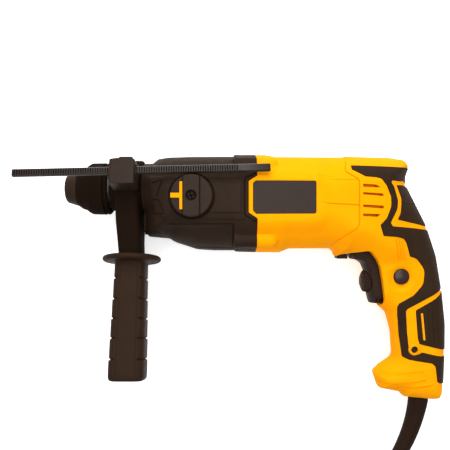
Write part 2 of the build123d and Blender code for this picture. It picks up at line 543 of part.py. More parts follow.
def cord_parts():
    sections = []
    for s, r in ((0, 8.65), (20, 7.65), (40, 6.9), (BOOT_LENGTH, 6.2)):
        place, heading = boot_point(s)
        sections.append(Plane(origin=place, z_dir=heading) * Circle(r))
    boot = loft(sections)
    boot += rod_y(BOOT_Y - 0.4, -170.5, 8.65, BOOT_X) + rod_y(-182.3, -170.5, 10.6, BOOT_X)

    floor = -FLANK
    inner, outer = COIL_R - COIL_WIDE / 2, COIL_R + COIL_WIDE / 2
    ring = make_face(FilletPolyline((inner, floor), (inner, floor + COIL_HIGH), (outer, floor + COIL_HIGH),
                                    (outer, floor), radius=3.9, close=True))
    coil = Pos(COIL_X, COIL_Y, 0) * revolve(Plane.XZ * ring, Axis.Z)
    tie_wide, tie_thick = 9, 1.2
    span = COIL_WIDE / 2 + 0.8
    top = floor + COIL_HIGH + 0.8
    tie = block((-span, span), (-tie_wide / 2, tie_wide / 2), (floor, top))
    tie -= block((tie_thick - span, span - tie_thick), (-10, 10), (floor + tie_thick, top - tie_thick))
    tie = Pos(COIL_X, COIL_Y, 0) * Rot(0, 0, 200) * Pos(COIL_R, 0, 0) * tie
    coil -= tie

    end, before = TAIL_ROUTE[-1], TAIL_ROUTE[-2]
    heading = degrees(atan2(end[1] - before[1], end[0] - before[0]))
    place = Pos(*end) * Rot(0, 0, heading)
    relief = turned_x([(0, 0), (0, 5.2), (18, 6.6), (18, 0)])
    shape = [(17, 7, 2), (24, 15, 8), (42, 18.5, 5), (56, 18.5, 1), (56, -18.5, 1), (42, -18.5, 5),
             (24, -15, 8), (17, -7, 2)]
    plug_body = extrude(Pos(0, 0, -10) * outline_face(shape), 20)
    rims = plug_body.edges().filter_by(Plane.XY).group_by(Axis.Z)
    plug_body = fillet(rims[0] + rims[-1], 2.5)
    pins = [rod_x(55, 74, 2.4, y) for y in (-9.5, 9.5)]
    plug = plug_body + relief
    for pin in pins:
        plug -= pin
    return {
        "cable_boot": boot,
        "cord_lead": cord_tube(LEAD_ROUTE),
        "cord_coil": coil,
        "cord_tail": cord_tube(TAIL_ROUTE),
        "coil_tie": tie,
        "plug": place * plug,
        "plug_pins": Compound(children=[place * pin for pin in pins]),
    }


def build():
    parts = {}
    for group in (spindle_parts, hammer_parts, drive_parts, motor_parts, housing_parts, knob_parts,
                  handle_parts, control_parts, side_handle_parts, cord_parts):
        parts.update(group())
    return parts


os.makedirs("parts", exist_ok=True)
for node, shape in build().items():
    export_step(shape, f"parts/{node}.step")
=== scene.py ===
from math import cos, pi, radians, sin, tan

import bpy
import numpy as np
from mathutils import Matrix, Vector
from mathutils.geometry import delaunay_2d_cdt


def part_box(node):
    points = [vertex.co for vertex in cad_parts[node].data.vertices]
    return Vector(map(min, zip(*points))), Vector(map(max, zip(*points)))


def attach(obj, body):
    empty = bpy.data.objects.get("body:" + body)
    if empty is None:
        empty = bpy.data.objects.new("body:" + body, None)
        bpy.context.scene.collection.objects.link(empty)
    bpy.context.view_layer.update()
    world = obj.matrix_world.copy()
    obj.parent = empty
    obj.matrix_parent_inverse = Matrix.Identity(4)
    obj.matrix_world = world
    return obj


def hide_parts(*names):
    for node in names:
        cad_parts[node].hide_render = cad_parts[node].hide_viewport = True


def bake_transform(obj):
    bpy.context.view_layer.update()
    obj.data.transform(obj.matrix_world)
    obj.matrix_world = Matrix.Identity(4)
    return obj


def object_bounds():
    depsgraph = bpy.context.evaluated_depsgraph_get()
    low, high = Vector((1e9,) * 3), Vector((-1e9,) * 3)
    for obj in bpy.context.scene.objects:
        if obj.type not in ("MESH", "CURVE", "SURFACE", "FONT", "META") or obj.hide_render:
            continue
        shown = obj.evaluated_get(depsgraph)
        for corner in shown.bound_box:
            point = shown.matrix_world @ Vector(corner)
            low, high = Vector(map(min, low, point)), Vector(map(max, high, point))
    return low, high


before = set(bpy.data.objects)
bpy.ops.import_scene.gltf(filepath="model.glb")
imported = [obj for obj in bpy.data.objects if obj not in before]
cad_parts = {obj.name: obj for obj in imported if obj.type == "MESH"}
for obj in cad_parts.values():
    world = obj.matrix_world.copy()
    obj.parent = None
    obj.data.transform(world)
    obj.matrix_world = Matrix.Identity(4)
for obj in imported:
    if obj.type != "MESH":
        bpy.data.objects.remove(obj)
cad_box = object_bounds()

# Lengths in this script are millimetres until a mesh is made. The frame is the CAD's: the origin
# is at the mouth of the tool socket, -X leaves the chuck, +Y is the hammer's top in use, and +Z
# leaves the left flank, which faces the camera.
MM = 0.001

# ---- sizes shared with the CAD ----
JOINT_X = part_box("gear_housing")[1].x / MM
KNOB, KNOB_R = (113.7, -8.2), 17.3
BUTTON, BUTTON_R = (294.2, -77.2), 6.6
DIAL_Y, DIAL_R = -82.7, 9.6
SCREW_HOLE = (305.5, -140.4)
HANDLE_SWING = radians(-12)
GRIP_X, FLANGE_TOP, GRIP_BOTTOM = 60.0, 61.4, 166.0
ROD_PIVOT_X, ROD_Y, ROD_Z, ROD_SLOPE = 57.3, 3.1, 43.7, radians(1.35)
ROD_START, ROD_END, ROD_THICK = -33.0, 178.8, 6.8
CORD_D = 8.0
BLOCK_Z = 30
COIL_X, COIL_Y = 238.0, -319.0
FLANK_Z = 38.6
LABEL_Z = (37.2, 38.5)
WALL, HANDLE_WALL, PAD_WALL = 2.4, 2.2, 1.7


def linked(name, data):
    """A new object in the scene."""
    made = bpy.data.objects.new(name, data)
    bpy.context.scene.collection.objects.link(made)
    return made


def painted(mesh, *materials):
    """Gives a mesh these materials and no others."""
    mesh.materials.clear()
    for material in materials:
        mesh.materials.append(material)


# ---- camera, light and floor ----
def make_stage():
    scene = bpy.context.scene
    scene.view_settings.view_transform = "Standard"
    field_of_view = radians(46)
    data = bpy.data.cameras.new("camera")
    data.sensor_width = 36
    data.lens = data.sensor_width / 2 / tan(field_of_view / 2)
    data.clip_start, data.clip_end = 0.01, 20
    camera = linked("camera", data)
    camera.location = (0.1414, -0.0324, 0.477)
    scene.camera = camera

    world = bpy.data.worlds.new("studio")
    world.use_nodes = True
    world.node_tree.nodes["Background"].inputs["Color"].default_value = (1, 1, 1, 1)
    world.node_tree.nodes["Background"].inputs["Strength"].default_value = 0.40
    scene.world = world
    target = Vector((0.15, -0.05, 0))
    for name, place, size, watts in (("key", (0.12, 0.85, 0.75), 0.9, 11.4),
                                     ("fill", (0.1, 0.1, 1.05), 0.9, 9.2),
                                     ("low", (0.3, -0.9, 0.12), 0.7, 1.2)):
        light = bpy.data.lights.new(name, "AREA")
        light.size, light.energy = size, watts
        lamp = linked(name, light)
        lamp.location = place
        lamp.rotation_mode = "QUATERNION"
        lamp.rotation_quaternion = (target - lamp.location).to_track_quat("-Z", "Y")

    just_below = 0.0002
    bpy.ops.mesh.primitive_plane_add(size=8, location=(0.15, -0.1, cad_box[0].z - just_below))
    floor = bpy.context.object
    floor.name = "floor"
    floor.data.materials.append(plain_floor())


# ---- materials ----
def shader(name, colour, roughness, metallic=0.0, specular=0.5):
    """A Principled material with its constant values on the sockets. Returns it, its node tree and
    the Principled node."""
    material = bpy.data.materials.new(name)
    material.use_nodes = True
    principled = material.node_tree.nodes["Principled BSDF"]
    principled.inputs["Base Color"].default_value = (*colour, 1)
    principled.inputs["Roughness"].default_value = roughness
    principled.inputs["Metallic"].default_value = metallic
    principled.inputs["Specular IOR Level"].default_value = specular
    return material, material.node_tree, principled


def noise(tree, scale, detail=2.0, stretch=(1, 1, 1)):
    """Noise in the object's own metres, stretched along an axis if asked."""
    place = tree.nodes.new("ShaderNodeTexCoord")
    mapping = tree.nodes.new("ShaderNodeMapping")
    mapping.inputs["Scale"].default_value = stretch
    texture = tree.nodes.new("ShaderNodeTexNoise")
    texture.inputs["Scale"].default_value = scale
    texture.inputs["Detail"].default_value = detail
    tree.links.new(place.outputs["Object"], mapping.inputs["Vector"])
    tree.links.new(mapping.outputs["Vector"], texture.inputs["Vector"])
    return texture.outputs["Fac"]


def ramp(tree, source, low, high, start=0.3, end=0.7):
    """Maps a 0 to 1 value onto two colours."""
    node = tree.nodes.new("ShaderNodeValToRGB")
    node.color_ramp.elements[0].position = start
    node.color_ramp.elements[1].position = end
    node.color_ramp.elements[0].color = (*low, 1)
    node.color_ramp.elements[1].color = (*high, 1)
    tree.links.new(source, node.inputs["Fac"])
    return node.outputs["Color"]


def bumped(tree, principled, source, strength, depth):
    """Lets a 0 to 1 value raise the surface, by a depth in millimetres."""
    bump = tree.nodes.new("ShaderNodeBump")
    bump.inputs["Strength"].default_value = strength
    bump.inputs["Distance"].default_value = depth * MM
    tree.links.new(source, bump.inputs["Height"])
    tree.links.new(bump.outputs["Normal"], principled.inputs["Normal"])


def grained(name, colour, roughness, grain, depth, spread, specular=0.5):
    """Moulded plastic or rubber: spark-eroded grain, faint flow marks and uneven gloss."""
    material, tree, principled = shader(name, colour, roughness, 0.0, specular)
    patches = noise(tree, 55, 4)
    low = [c * (1 - spread) for c in colour]
    high = [min(c * (1 + spread), 1) for c in colour]
    tree.links.new(ramp(tree, patches, low, high), principled.inputs["Base Color"])
    gloss = noise(tree, 240, 3)
    rough_low, rough_high = (roughness * 0.88,) * 3, (min(roughness * 1.12, 1),) * 3
    tree.links.new(ramp(tree, gloss, rough_low, rough_high), principled.inputs["Roughness"])
    bumped(tree, principled, noise(tree, grain, 2), 0.5, depth)
    return material


def machined(name, colour, roughness, stretch=(1, 1, 1)):
    """Metal with fine tool marks and slightly stained patches."""
    material, tree, principled = shader(name, colour, roughness, 1.0)
    patches = noise(tree, 90, 5)
    low = [c * 0.8 for c in colour]
    tree.links.new(ramp(tree, patches, low, colour), principled.inputs["Base Color"])
    marks = noise(tree, 1400, 3, stretch)
    rough_low, rough_high = (roughness * 0.75,) * 3, (min(roughness * 1.3, 1),) * 3
    tree.links.new(ramp(tree, marks, rough_low, rough_high), principled.inputs["Roughness"])
    bumped(tree, principled, marks, 0.35, 0.012)
    return material


def plain_floor():
    material, tree, principled = shader("pale_floor", (0.93, 0.93, 0.93), 0.9, 0.0, 0.1)
    patches = noise(tree, 3, 2)
    tones = ramp(tree, patches, (0.925,) * 3, (0.935,) * 3)
    tree.links.new(tones, principled.inputs["Base Color"])
    principled.inputs["Emission Color"].default_value = (1, 1, 1, 1)
    principled.inputs["Emission Strength"].default_value = 0.5
    return material


make_stage()

YELLOW = (0.93, 0.332, 0.001)
DARK = (0.0225, 0.0125, 0.0074)
yellow_plastic = grained("yellow_plastic", YELLOW, 0.62, 2200, 0.035, 0.03, 0.01)
dark_plastic = grained("dark_plastic", DARK, 0.60, 2000, 0.06, 0.10, 0.06)
rubber = grained("overmould_rubber", (0.0265, 0.0142, 0.0076), 0.66, 1700, 0.08, 0.10, 0.05)
chuck_plastic = grained("chuck_plastic", (0.0112, 0.0058, 0.0034), 0.8, 2600, 0.04, 0.08, 0.02)
knob_plastic = grained("knob_plastic", (0.0225, 0.0125, 0.0076), 0.42, 2600, 0.04, 0.08, 0.08)
cap_rubber = grained("cap_rubber", (0.0270, 0.0155, 0.0100), 0.60, 1700, 0.08, 0.10, 0.07)
grip_rubber = grained("grip_rubber", (0.0240, 0.0122, 0.0066), 0.58, 1500, 0.09, 0.08, 0.05)
control_plastic = grained("control_plastic", (0.0220, 0.0108, 0.0066), 0.5, 2600, 0.03, 0.08, 0.10)
button_plastic = grained("button_plastic", (0.028, 0.0135, 0.0120), 0.3, 2600, 0.02, 0.06, 0.25)
label_film = grained("label_film", (0.024, 0.0125, 0.0088), 0.34, 3000, 0.01, 0.05, 0.12)
rod_finish = grained("rod_finish", (0.024, 0.0155, 0.0105), 0.36, 2200, 0.03, 0.15, 0.2)
# near-black painted shade for the rod's groove floors and the knob screw's cross recess
recess_painted_shade = grained("recess_painted_shade", (0.004, 0.0028, 0.002), 0.7, 2200, 0.03, 0.15, 0.03)
cord_rubber = grained("cord_rubber", (0.0175, 0.0092, 0.0056), 0.62, 1300, 0.06, 0.12, 0.04)
inner_plastic = grained("inner_plastic", (0.03, 0.03, 0.035), 0.5, 2000, 0.04, 0.08)
carbon = grained("carbon", (0.02, 0.02, 0.02), 0.7, 2500, 0.05, 0.2, 0.3)
ground_steel = machined("ground_steel", (0.56, 0.56, 0.57), 0.3, (1, 6, 6))
spring_steel = machined("spring_steel", (0.42, 0.42, 0.43), 0.35, (4, 1, 1))
black_screw = grained("black_screw", (0.0240, 0.0160, 0.0120), 0.5, 2600, 0.02, 0.10, 0.10)
cast_alloy = machined("cast_alloy", (0.62, 0.62, 0.63), 0.5)
bronze = machined("bronze", (0.58, 0.40, 0.19), 0.38)
copper = machined("copper", (0.75, 0.38, 0.22), 0.32, (8, 1, 1))
laminations = machined("laminations", (0.26, 0.25, 0.25), 0.5, (14, 1, 1))
plated = machined("plated_pins", (0.74, 0.71, 0.66), 0.22, (1, 1, 5))


# ---- cord ----
def add_cord():
    """The lead from the boot, its coil on the bench and its tail to the plug."""
    lead = [(296.2, -240.6, 0), (284.8, -262, -3.5), (279.4, -290, -9.5)]
    tail = [(238, -371, -35), (216, -370.5, -35), (195, -366, -35), (178, -356, -33),
            (164, -342.5, -29)]
    turn_radii = [40, 36, 44, 52, 48, 40, 36, 44, 52]
    turn_heights = [-14.2, -21.1, -21.1, -21.1, -28.1, -28.1, -35, -35, -35]
    per_turn, turns = 20, 8.25
    # the cord changes lanes once a turn, within a short stretch at the tie
    tie_turn, step_half = 160 / 360, 0.07
    coil = []
    for i in range(int(turns * per_turn)):
        turn = i / per_turn
        lane = int(turn - tie_turn + 1 + step_half)
        share = min(max((turn - (lane - 1 + tie_turn) + step_half) / (2 * step_half), 0), 1)
        share = share * share * (3 - 2 * share) if lane else 1
        before = max(lane - 1, 0)
        r = turn_radii[before] + share * (turn_radii[lane] - turn_radii[before])
        z = turn_heights[before] + share * (turn_heights[lane] - turn_heights[before])
        angle = -2 * pi * turn
        coil.append((COIL_X + r * cos(angle), COIL_Y + r * sin(angle), z))
    route = lead + coil + tail
    curve = bpy.data.curves.new("power_cord", "CURVE")
    curve.dimensions = "3D"
    curve.bevel_depth = CORD_D / 2 * MM
    curve.bevel_resolution = 6
    curve.use_fill_caps = True
    spline = curve.splines.new("NURBS")
    spline.points.add(len(route) - 1)
    for point, place in zip(spline.points, route):
        point.co = (*(c * MM for c in place), 1)
    spline.order_u = 3
    spline.use_endpoint_u = True
    spline.resolution_u = 8
    cord = linked("power_cord", curve)
    curve.materials.append(cord_rubber)
    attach(cord, "body")
    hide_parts("cord_lead", "cord_coil", "cord_tail")


# ---- outlines ----
def rounded(corners, step=1.5, closed=True):
    """Points along straight runs and corner arcs, at most step apart. A corner is (x, y, radius),
    or (x, y) where it is sharp."""
    points = [np.array(c[:2], float) for c in corners]
    radii = [c[2] if len(c) > 2 else 0 for c in corners]
    path = []
    for i, here in enumerate(points):
        r = radii[i]
        if not r or (not closed and i in (0, len(points) - 1)):
            path.append(here)
            continue
        to_before = points[i - 1] - here
        to_after = points[(i + 1) % len(points)] - here
        room = 0.48 * min(np.linalg.norm(to_before), np.linalg.norm(to_after))
        to_before /= np.linalg.norm(to_before)
        to_after /= np.linalg.norm(to_after)
        half = np.arccos(np.clip(to_before @ to_after, -1, 1)) / 2
        if half > pi / 2 - 0.01:
            path.append(here)
            continue
        reach = min(r / tan(half), room)
        r = reach * tan(half)
        middle = to_before + to_after
        centre = here + middle / np.linalg.norm(middle) * (r / sin(half))
        first, last = here + to_before * reach - centre, here + to_after * reach - centre
        turn = np.arctan2(first[0] * last[1] - first[1] * last[0], first @ last)
        count = max(2, int(np.ceil(abs(turn) * max(r / step, 4.5))))
        for k in range(count + 1):
            a = turn * k / count
            path.append(centre + np.array([first[0] * cos(a) - first[1] * sin(a),
                                           first[0] * sin(a) + first[1] * cos(a)]))
    fine = []
    ends = path[1:] + path[:1] if closed else path[1:]
    for a, b in zip(path, ends):
        count = max(1, int(np.ceil(np.linalg.norm(b - a) / step)))
        fine += [a + (b - a) * k / count for k in range(count)]
    if not closed:
        fine.append(path[-1])
    return np.array(fine)


def ring(x, y, r, step=1.0):
    """Points round a circle."""
    count = max(24, int(2 * pi * r / step))
    angles = np.linspace(0, 2 * pi, count, endpoint=False)
    return np.column_stack([x + r * np.cos(angles), y + r * np.sin(angles)])


def directions(line, closed=True):
    """Unit direction of a line at each of its points."""
    if closed:
        run = np.roll(line, -1, axis=0) - np.roll(line, 1, axis=0)
    else:
        run = np.gradient(line, axis=0)
    return run / np.maximum(np.linalg.norm(run, axis=1, keepdims=True), 1e-9)


def turns_left(loop):
    """True for a closed loop that runs counter-clockwise."""
    return sum(a[0] * b[1] - b[0] * a[1] for a, b in zip(loop, np.roll(loop, -1, axis=0))) > 0


def distance(points, line, closed=True):
    """Distance from each point to a polyline."""
    starts = line if closed else line[:-1]
    ends = np.roll(line, -1, axis=0) if closed else line[1:]
    run = ends - starts
    length = np.maximum((run ** 2).sum(1), 1e-12)
    found = np.empty(len(points))
    for low in range(0, len(points), 4000):
        part = points[low:low + 4000, None, :] - starts[None]
        share = np.clip((part * run).sum(2) / length, 0, 1)
        gap = part - share[..., None] * run
        found[low:low + 4000] = np.sqrt((gap ** 2).sum(2).min(1))
    return found


def inside(points, loop):
    """True for each point inside a closed loop."""
    x, y = points[:, 0], points[:, 1]
    result = np.zeros(len(points), bool)
    for (x0, y0), (x1, y1) in zip(loop, np.roll(loop, -1, axis=0)):
        crosses = (y0 > y) != (y1 > y)
        if crosses.any():
            result ^= crosses & (x < (x1 - x0) * (y - y0) / (y1 - y0 + 1e-15) + x0)
    return result


def within(points, loops, holes):
    """True for each point inside every loop and outside every hole."""
    found = np.ones(len(points), bool)
    for loop in loops:
        found &= inside(points, loop)
    for hole in holes:
        found &= ~inside(points, hole)
    return found


def clear_of(points, lines, gap):
    """True for each point further than a gap from every closed line."""
    return np.all([distance(points, line) > gap for line in lines], axis=0)


def depth_inside(points, loop):
    """Signed distance to a loop, positive inside."""
    return np.where(inside(points, loop), 1, -1) * distance(points, loop)


def smooth(value, low=0.0, high=1.0):
    """0 up to low, 1 from high on, with an even run between them."""
    t = np.clip((value - low) / (high - low), 0, 1)
    return t * t * (3 - 2 * t)


# ---- the form: its silhouette run clockwise from the nose, its half thickness along the barrel
# (PLAN, by x) and down the handle (SIDE, by y), and the lines at which the shells part ----
GEAR_TOP = [
    (40, 22.5), (77, 22.6, 2), (82, 26.6, 3), (91, 28, 8), (112.9, 28.7, 30), (148.6, 28.8, 0.4),
    (149.6, 30.4, 0.4), (JOINT_X, 30.4)]
MOTOR_TOP = [(177, 30.2, 3), (187, 28.5, 6), (246.6, 28.1, 0.3), (247.4, 28.8, 0.3)]
HANDLE_BACK = [
    (287, 27.7, 30), (301.6, 25.6, 7), (304.6, 19.3, 2.5), (301.2, 10, 6), (301, 4, 8),
    (319.5, -32.3, 25), (328.6, -59.7, 40), (334, -91.8, 60), (336.9, -119.3, 60),
    (336.7, -145, 60), (335, -182, 7), (332, -187.6, 3), (325, -187.8, 4), (300.5, -185.3, 5),
    (296.5, -180.9, 3), (278.4, -177.6, 3), (274.6, -165, 3), (280, -158.2, 5),
    (291.8, -150.3, 6), (290.5, -128, 30), (286, -111, 10), (278.2, -104, 2)]
TRIGGER_FRONT = [
    (270.4, -102, 1.5), (268.3, -93, 6), (265.6, -72, 6), (263, -66.4, 4), (259, -63.6, 3),
    (250, -60.3, 1), (243, -60.3, 1)]
MOTOR_BOTTOM = [
    (239.4, -60.2, 1), (238.3, -56.4, 2), (234.6, -53.4, 2), (198, -53.6, 5), (190, -57, 3),
    (JOINT_X, -56.9)]
GEAR_BOTTOM = [
    (151, -56.4, 0.4), (149.6, -55.2, 0.4), (132, -55.2, 30), (116.7, -54.3, 20), (97.2, -48, 15),
    (91.4, -44.6, 4), (73.5, -43, 3), (70, -38, 3), (70, -22.4), (40, -22.4)]
FORM = rounded(GEAR_TOP + MOTOR_TOP + HANDLE_BACK + TRIGGER_FRONT + MOTOR_BOTTOM + GEAR_BOTTOM, 1.4)
TRIGGER_OPENING = [
    (280.6, -98.6, 1), (278.3, -81, 20), (276.3, -69.5, 12), (273.6, -62.8, 10),
    (267.5, -54.9, 5), (263, -54.8, 4), (242.8, -58.2, 1), (239.3, -60.4), (236, -66),
    (262, -110), (271, -104.3), (279.4, -104.4, 1)]
TONGUE = [(JOINT_X, 8.8), (161.1, 4.0, 1.2), (161.1, -22, 1.2), (JOINT_X, -27)]
JOINT_LINE = [(JOINT_X, 34)] + TONGUE + [(JOINT_X, -60)]
SEAM = [
    (247, 40), (247, 28.8), (242.7, 14.6, 1), (243.2, 12.2, 2), (252, 6.2, 2), (253.2, 4.2, 1),
    (253.2, -31.5, 3), (251.3, -35.4, 3), (237.5, -45.5, 2), (233.6, -51.8, 1), (233.6, -70)]
PLAN = rounded([(40, 22.2), (70, 23.5), (80, 33.5, 6), (92, FLANK_Z, 6), (170, FLANK_Z, 20),
                (256, 37.6, 14), (284, 31.5, 16), (301, 23, 14), (322, 20, 12), (345, 13, 4)],
               1, False)
SIDE = rounded([(-200, 19.5), (-172, 20.6, 8), (-160, 19.8, 8), (-148, 18.2, 10), (-84, 18.8, 20),
                (-66, 20.5, 10), (-52, 30, 12), (-36, FLANK_Z, 10), (60, FLANK_Z)], 1, False)


def half_width(points):
    """The form's half thickness before its rim is rounded: the plan's along the barrel, and the
    lesser of plan and side view on the handle."""
    along = np.interp(points[:, 0], PLAN[:, 0], PLAN[:, 1])
    up = np.interp(points[:, 1], SIDE[:, 0], SIDE[:, 1])
    ahead = smooth(250 - points[:, 0], 0, 18)
    up = np.where(points[:, 0] < 232, FLANK_Z, up + (FLANK_Z - up) * ahead)
    soft = 2.2
    return -soft * np.log(np.exp(-along / soft) + np.exp(-up / soft))


def rim_reach(points):
    """How far inside the silhouette the form is still turning over: further on the round barrel."""
    barrel = smooth(252 - points[:, 0], 0, 30)
    return (0.8 + 0.2 * barrel) * half_width(points)


def form_height(points):
    """Height of the bare left flank over the middle plane."""
    wide = half_width(points)
    rim = np.clip(distance(points, FORM) / rim_reach(points), 0, 1)
    return wide * np.sqrt(1 - (1 - rim) ** 2.05)


# ---- relief: each feature changes the height, and asks for points along its own edges ----
class Area:
    """Raises or sinks what lies inside a loop of corners or points, over a flank width."""
    def __init__(self, loop, rise, width):
        self.loop = loop if isinstance(loop, np.ndarray) else rounded(loop, 1)
        self.rise, self.width = rise, width
        self.lines = [(self.loop, True, (0, width / 2, width))]

    def apply(self, points, height):
        return height + self.rise * smooth(depth_inside(points, self.loop), 0, self.width)


class Level(Area):
    """Brings what lies inside a loop to one height."""
    def apply(self, points, height):
        share = smooth(depth_inside(points, self.loop), 0, self.width)
        return height * (1 - share) + self.rise * share


class Groove:
    """A round-bottomed groove along an open line of corners, or round a closed line of points."""
    def __init__(self, line, depth, width):
        closed = isinstance(line, np.ndarray)
        self.line = line if closed else rounded(line, 0.9, False)
        self.depth, self.width, self.closed = depth, width, closed
        self.lines = [(self.line, closed, (-width, -width / 2, 0, width / 2, width))]

    def apply(self, points, height):
        share = np.clip(distance(points, self.line, self.closed) / self.width, 0, 1)
        return height - self.depth * (1 - share ** 2) ** 1.5


class Boss:
    """A lying half-round boss along X, with a domed end."""
    def __init__(self, start, end, y, z, r):
        self.start, self.end, self.y, self.z, self.r = start, end, y, z, r
        box = [(start - r * 0.3, y + r), (end + r, y + r, r), (end + r, y - r, r), (start, y - r)]
        self.lines = [(rounded(box, 1.2), True, (-1.2, 0, 1.2))]

    def apply(self, points, height):
        past = np.clip(points[:, 0] - self.end, 0, None)
        ahead = np.clip(self.start - points[:, 0], 0, None) * 6
        off = ((points[:, 1] - self.y) ** 2 + past ** 2 + ahead ** 2) / self.r ** 2
        top = self.z + self.r * np.sqrt(np.clip(1 - off, 0, 1))
        return np.where(off < 1, np.maximum(height, top), height)


def offset_points(line, closed, offsets):
    """Points beside a polyline, at signed distances to its left, and on both sides if it is closed.
    Points that come too near another stretch of the line are dropped."""
    run = directions(line, closed)
    left = np.column_stack([-run[:, 1], run[:, 0]])
    beside = []
    for offset in offsets:
        for signed in (offset, -offset) if closed and offset else (offset,):
            moved = line + left * signed
            beside.append(moved[distance(moved, line, closed) > abs(offset) * 0.9 - 0.01])
    return np.vstack(beside)


RIM_SHARES = [0.0025, 0.01, 0.025, 0.05, 0.09, 0.15, 0.24, 0.36, 0.5]
LATTICE = 1.7
# least distances: extra points to a border, lattice points to a border and to extra points
EDGE_GAP, LATTICE_EDGE_GAP, LATTICE_GAP = 0.12, 0.55 * LATTICE, 0.6 * LATTICE


def rim_points():
    """Rows of points close inside the silhouette, where the form turns over, less those that come
    too near another stretch of it."""
    run = directions(FORM)
    inward = np.column_stack([run[:, 1], -run[:, 0]])
    reach = rim_reach(FORM)
    rows = []
    for share in RIM_SHARES:
        moved = FORM + inward * (share * reach)[:, None]
        rows.append(moved[distance(moved, FORM) > share * reach * 0.93])
    return np.vstack(rows)


def flat_mesh(loops, holes, extra):
    """Triangles over what is inside every loop and outside every hole, through the extra points and
    a lattice where there are none."""
    low = np.max([loop.min(0) for loop in loops], axis=0)
    high = np.min([loop.max(0) for loop in loops], axis=0)
    xs, ys = np.arange(low[0], high[0], LATTICE), np.arange(low[1], high[1], LATTICE)
    lattice = np.array([(x + (0.5 * LATTICE if k % 2 else 0), y)
                        for k, y in enumerate(ys) for x in xs])
    borders = loops + holes
    extra = extra[clear_of(extra, borders, EDGE_GAP) & within(extra, loops, holes)]
    lattice = lattice[clear_of(lattice, borders, LATTICE_EDGE_GAP) & within(lattice, loops, holes)]
    cells = {}
    for x, y in extra:
        cells.setdefault((x // LATTICE, y // LATTICE), []).append((x, y))
    clear = []
    for x, y in lattice:
        near = [p for i in (-1, 0, 1) for j in (-1, 0, 1)
                for p in cells.get((x // LATTICE + i, y // LATTICE + j), ())]
        clear.append(all((x - a) ** 2 + (y - b) ** 2 > LATTICE_GAP ** 2 for a, b in near))
    lattice = lattice[clear]
    points, edges = [], []
    for loop in borders:
        start = len(points)
        points += [Vector(p) for p in loop]
        edges += [(start + i, start + (i + 1) % len(loop)) for i in range(len(loop))]
    points += [Vector(p) for p in extra] + [Vector(p) for p in lattice]
    made_points, _, made_faces, *_ = delaunay_2d_cdt(points, edges, [], 0, 1e-4)
    flat = np.array([tuple(p) for p in made_points])
    triangles = np.array([tuple(f) for f in made_faces])
    triangles = triangles[within(flat[triangles].mean(1), loops, holes)]
    used = np.unique(triangles)
    number = np.full(len(flat), -1)
    number[used] = np.arange(len(used))
    return flat[used], number[triangles]


def attached(piece, body, replaced=()):
    """Says which body a piece rides on and the CAD nodes it stands for."""
    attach(piece, body)
    if replaced:
        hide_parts(*replaced)
    return piece


def mesh_of(name, points, faces):
    """A mesh from points in millimetres."""
    mesh = bpy.data.meshes.new(name)
    mesh.from_pydata([tuple(c * MM for c in p) for p in points], [],
                     [tuple(int(i) for i in f) for f in faces])
    return mesh


def new_piece(name, points, faces, material, body, replaced=(), sharp=38):
    """A mesh piece from points in millimetres, with edges sharper than an angle in degrees kept."""
    mesh = mesh_of(name, points, faces)
    mesh.validate()
    painted(mesh, material)
    mesh.shade_smooth()
    mesh.set_sharp_from_angle(angle=radians(sharp))
    return attached(linked(name, mesh), body, replaced)


def baked(piece):
    """Applies a piece's modifiers, and returns its new mesh."""
    graph = bpy.context.evaluated_depsgraph_get()
    made = bpy.data.meshes.new_from_object(piece.evaluated_get(graph))
    piece.modifiers.clear()
    piece.data = made
    return made


def point_normals(points, faces):
    """Unit normals at the points, from the triangles around each."""
    corners = points[faces]
    across = np.cross(corners[:, 1] - corners[:, 0], corners[:, 2] - corners[:, 0])
    normals = np.zeros_like(points)
    for k in range(3):
        np.add.at(normals, faces[:, k], across)
    return normals / np.maximum(np.linalg.norm(normals, axis=1, keepdims=True), 1e-12)


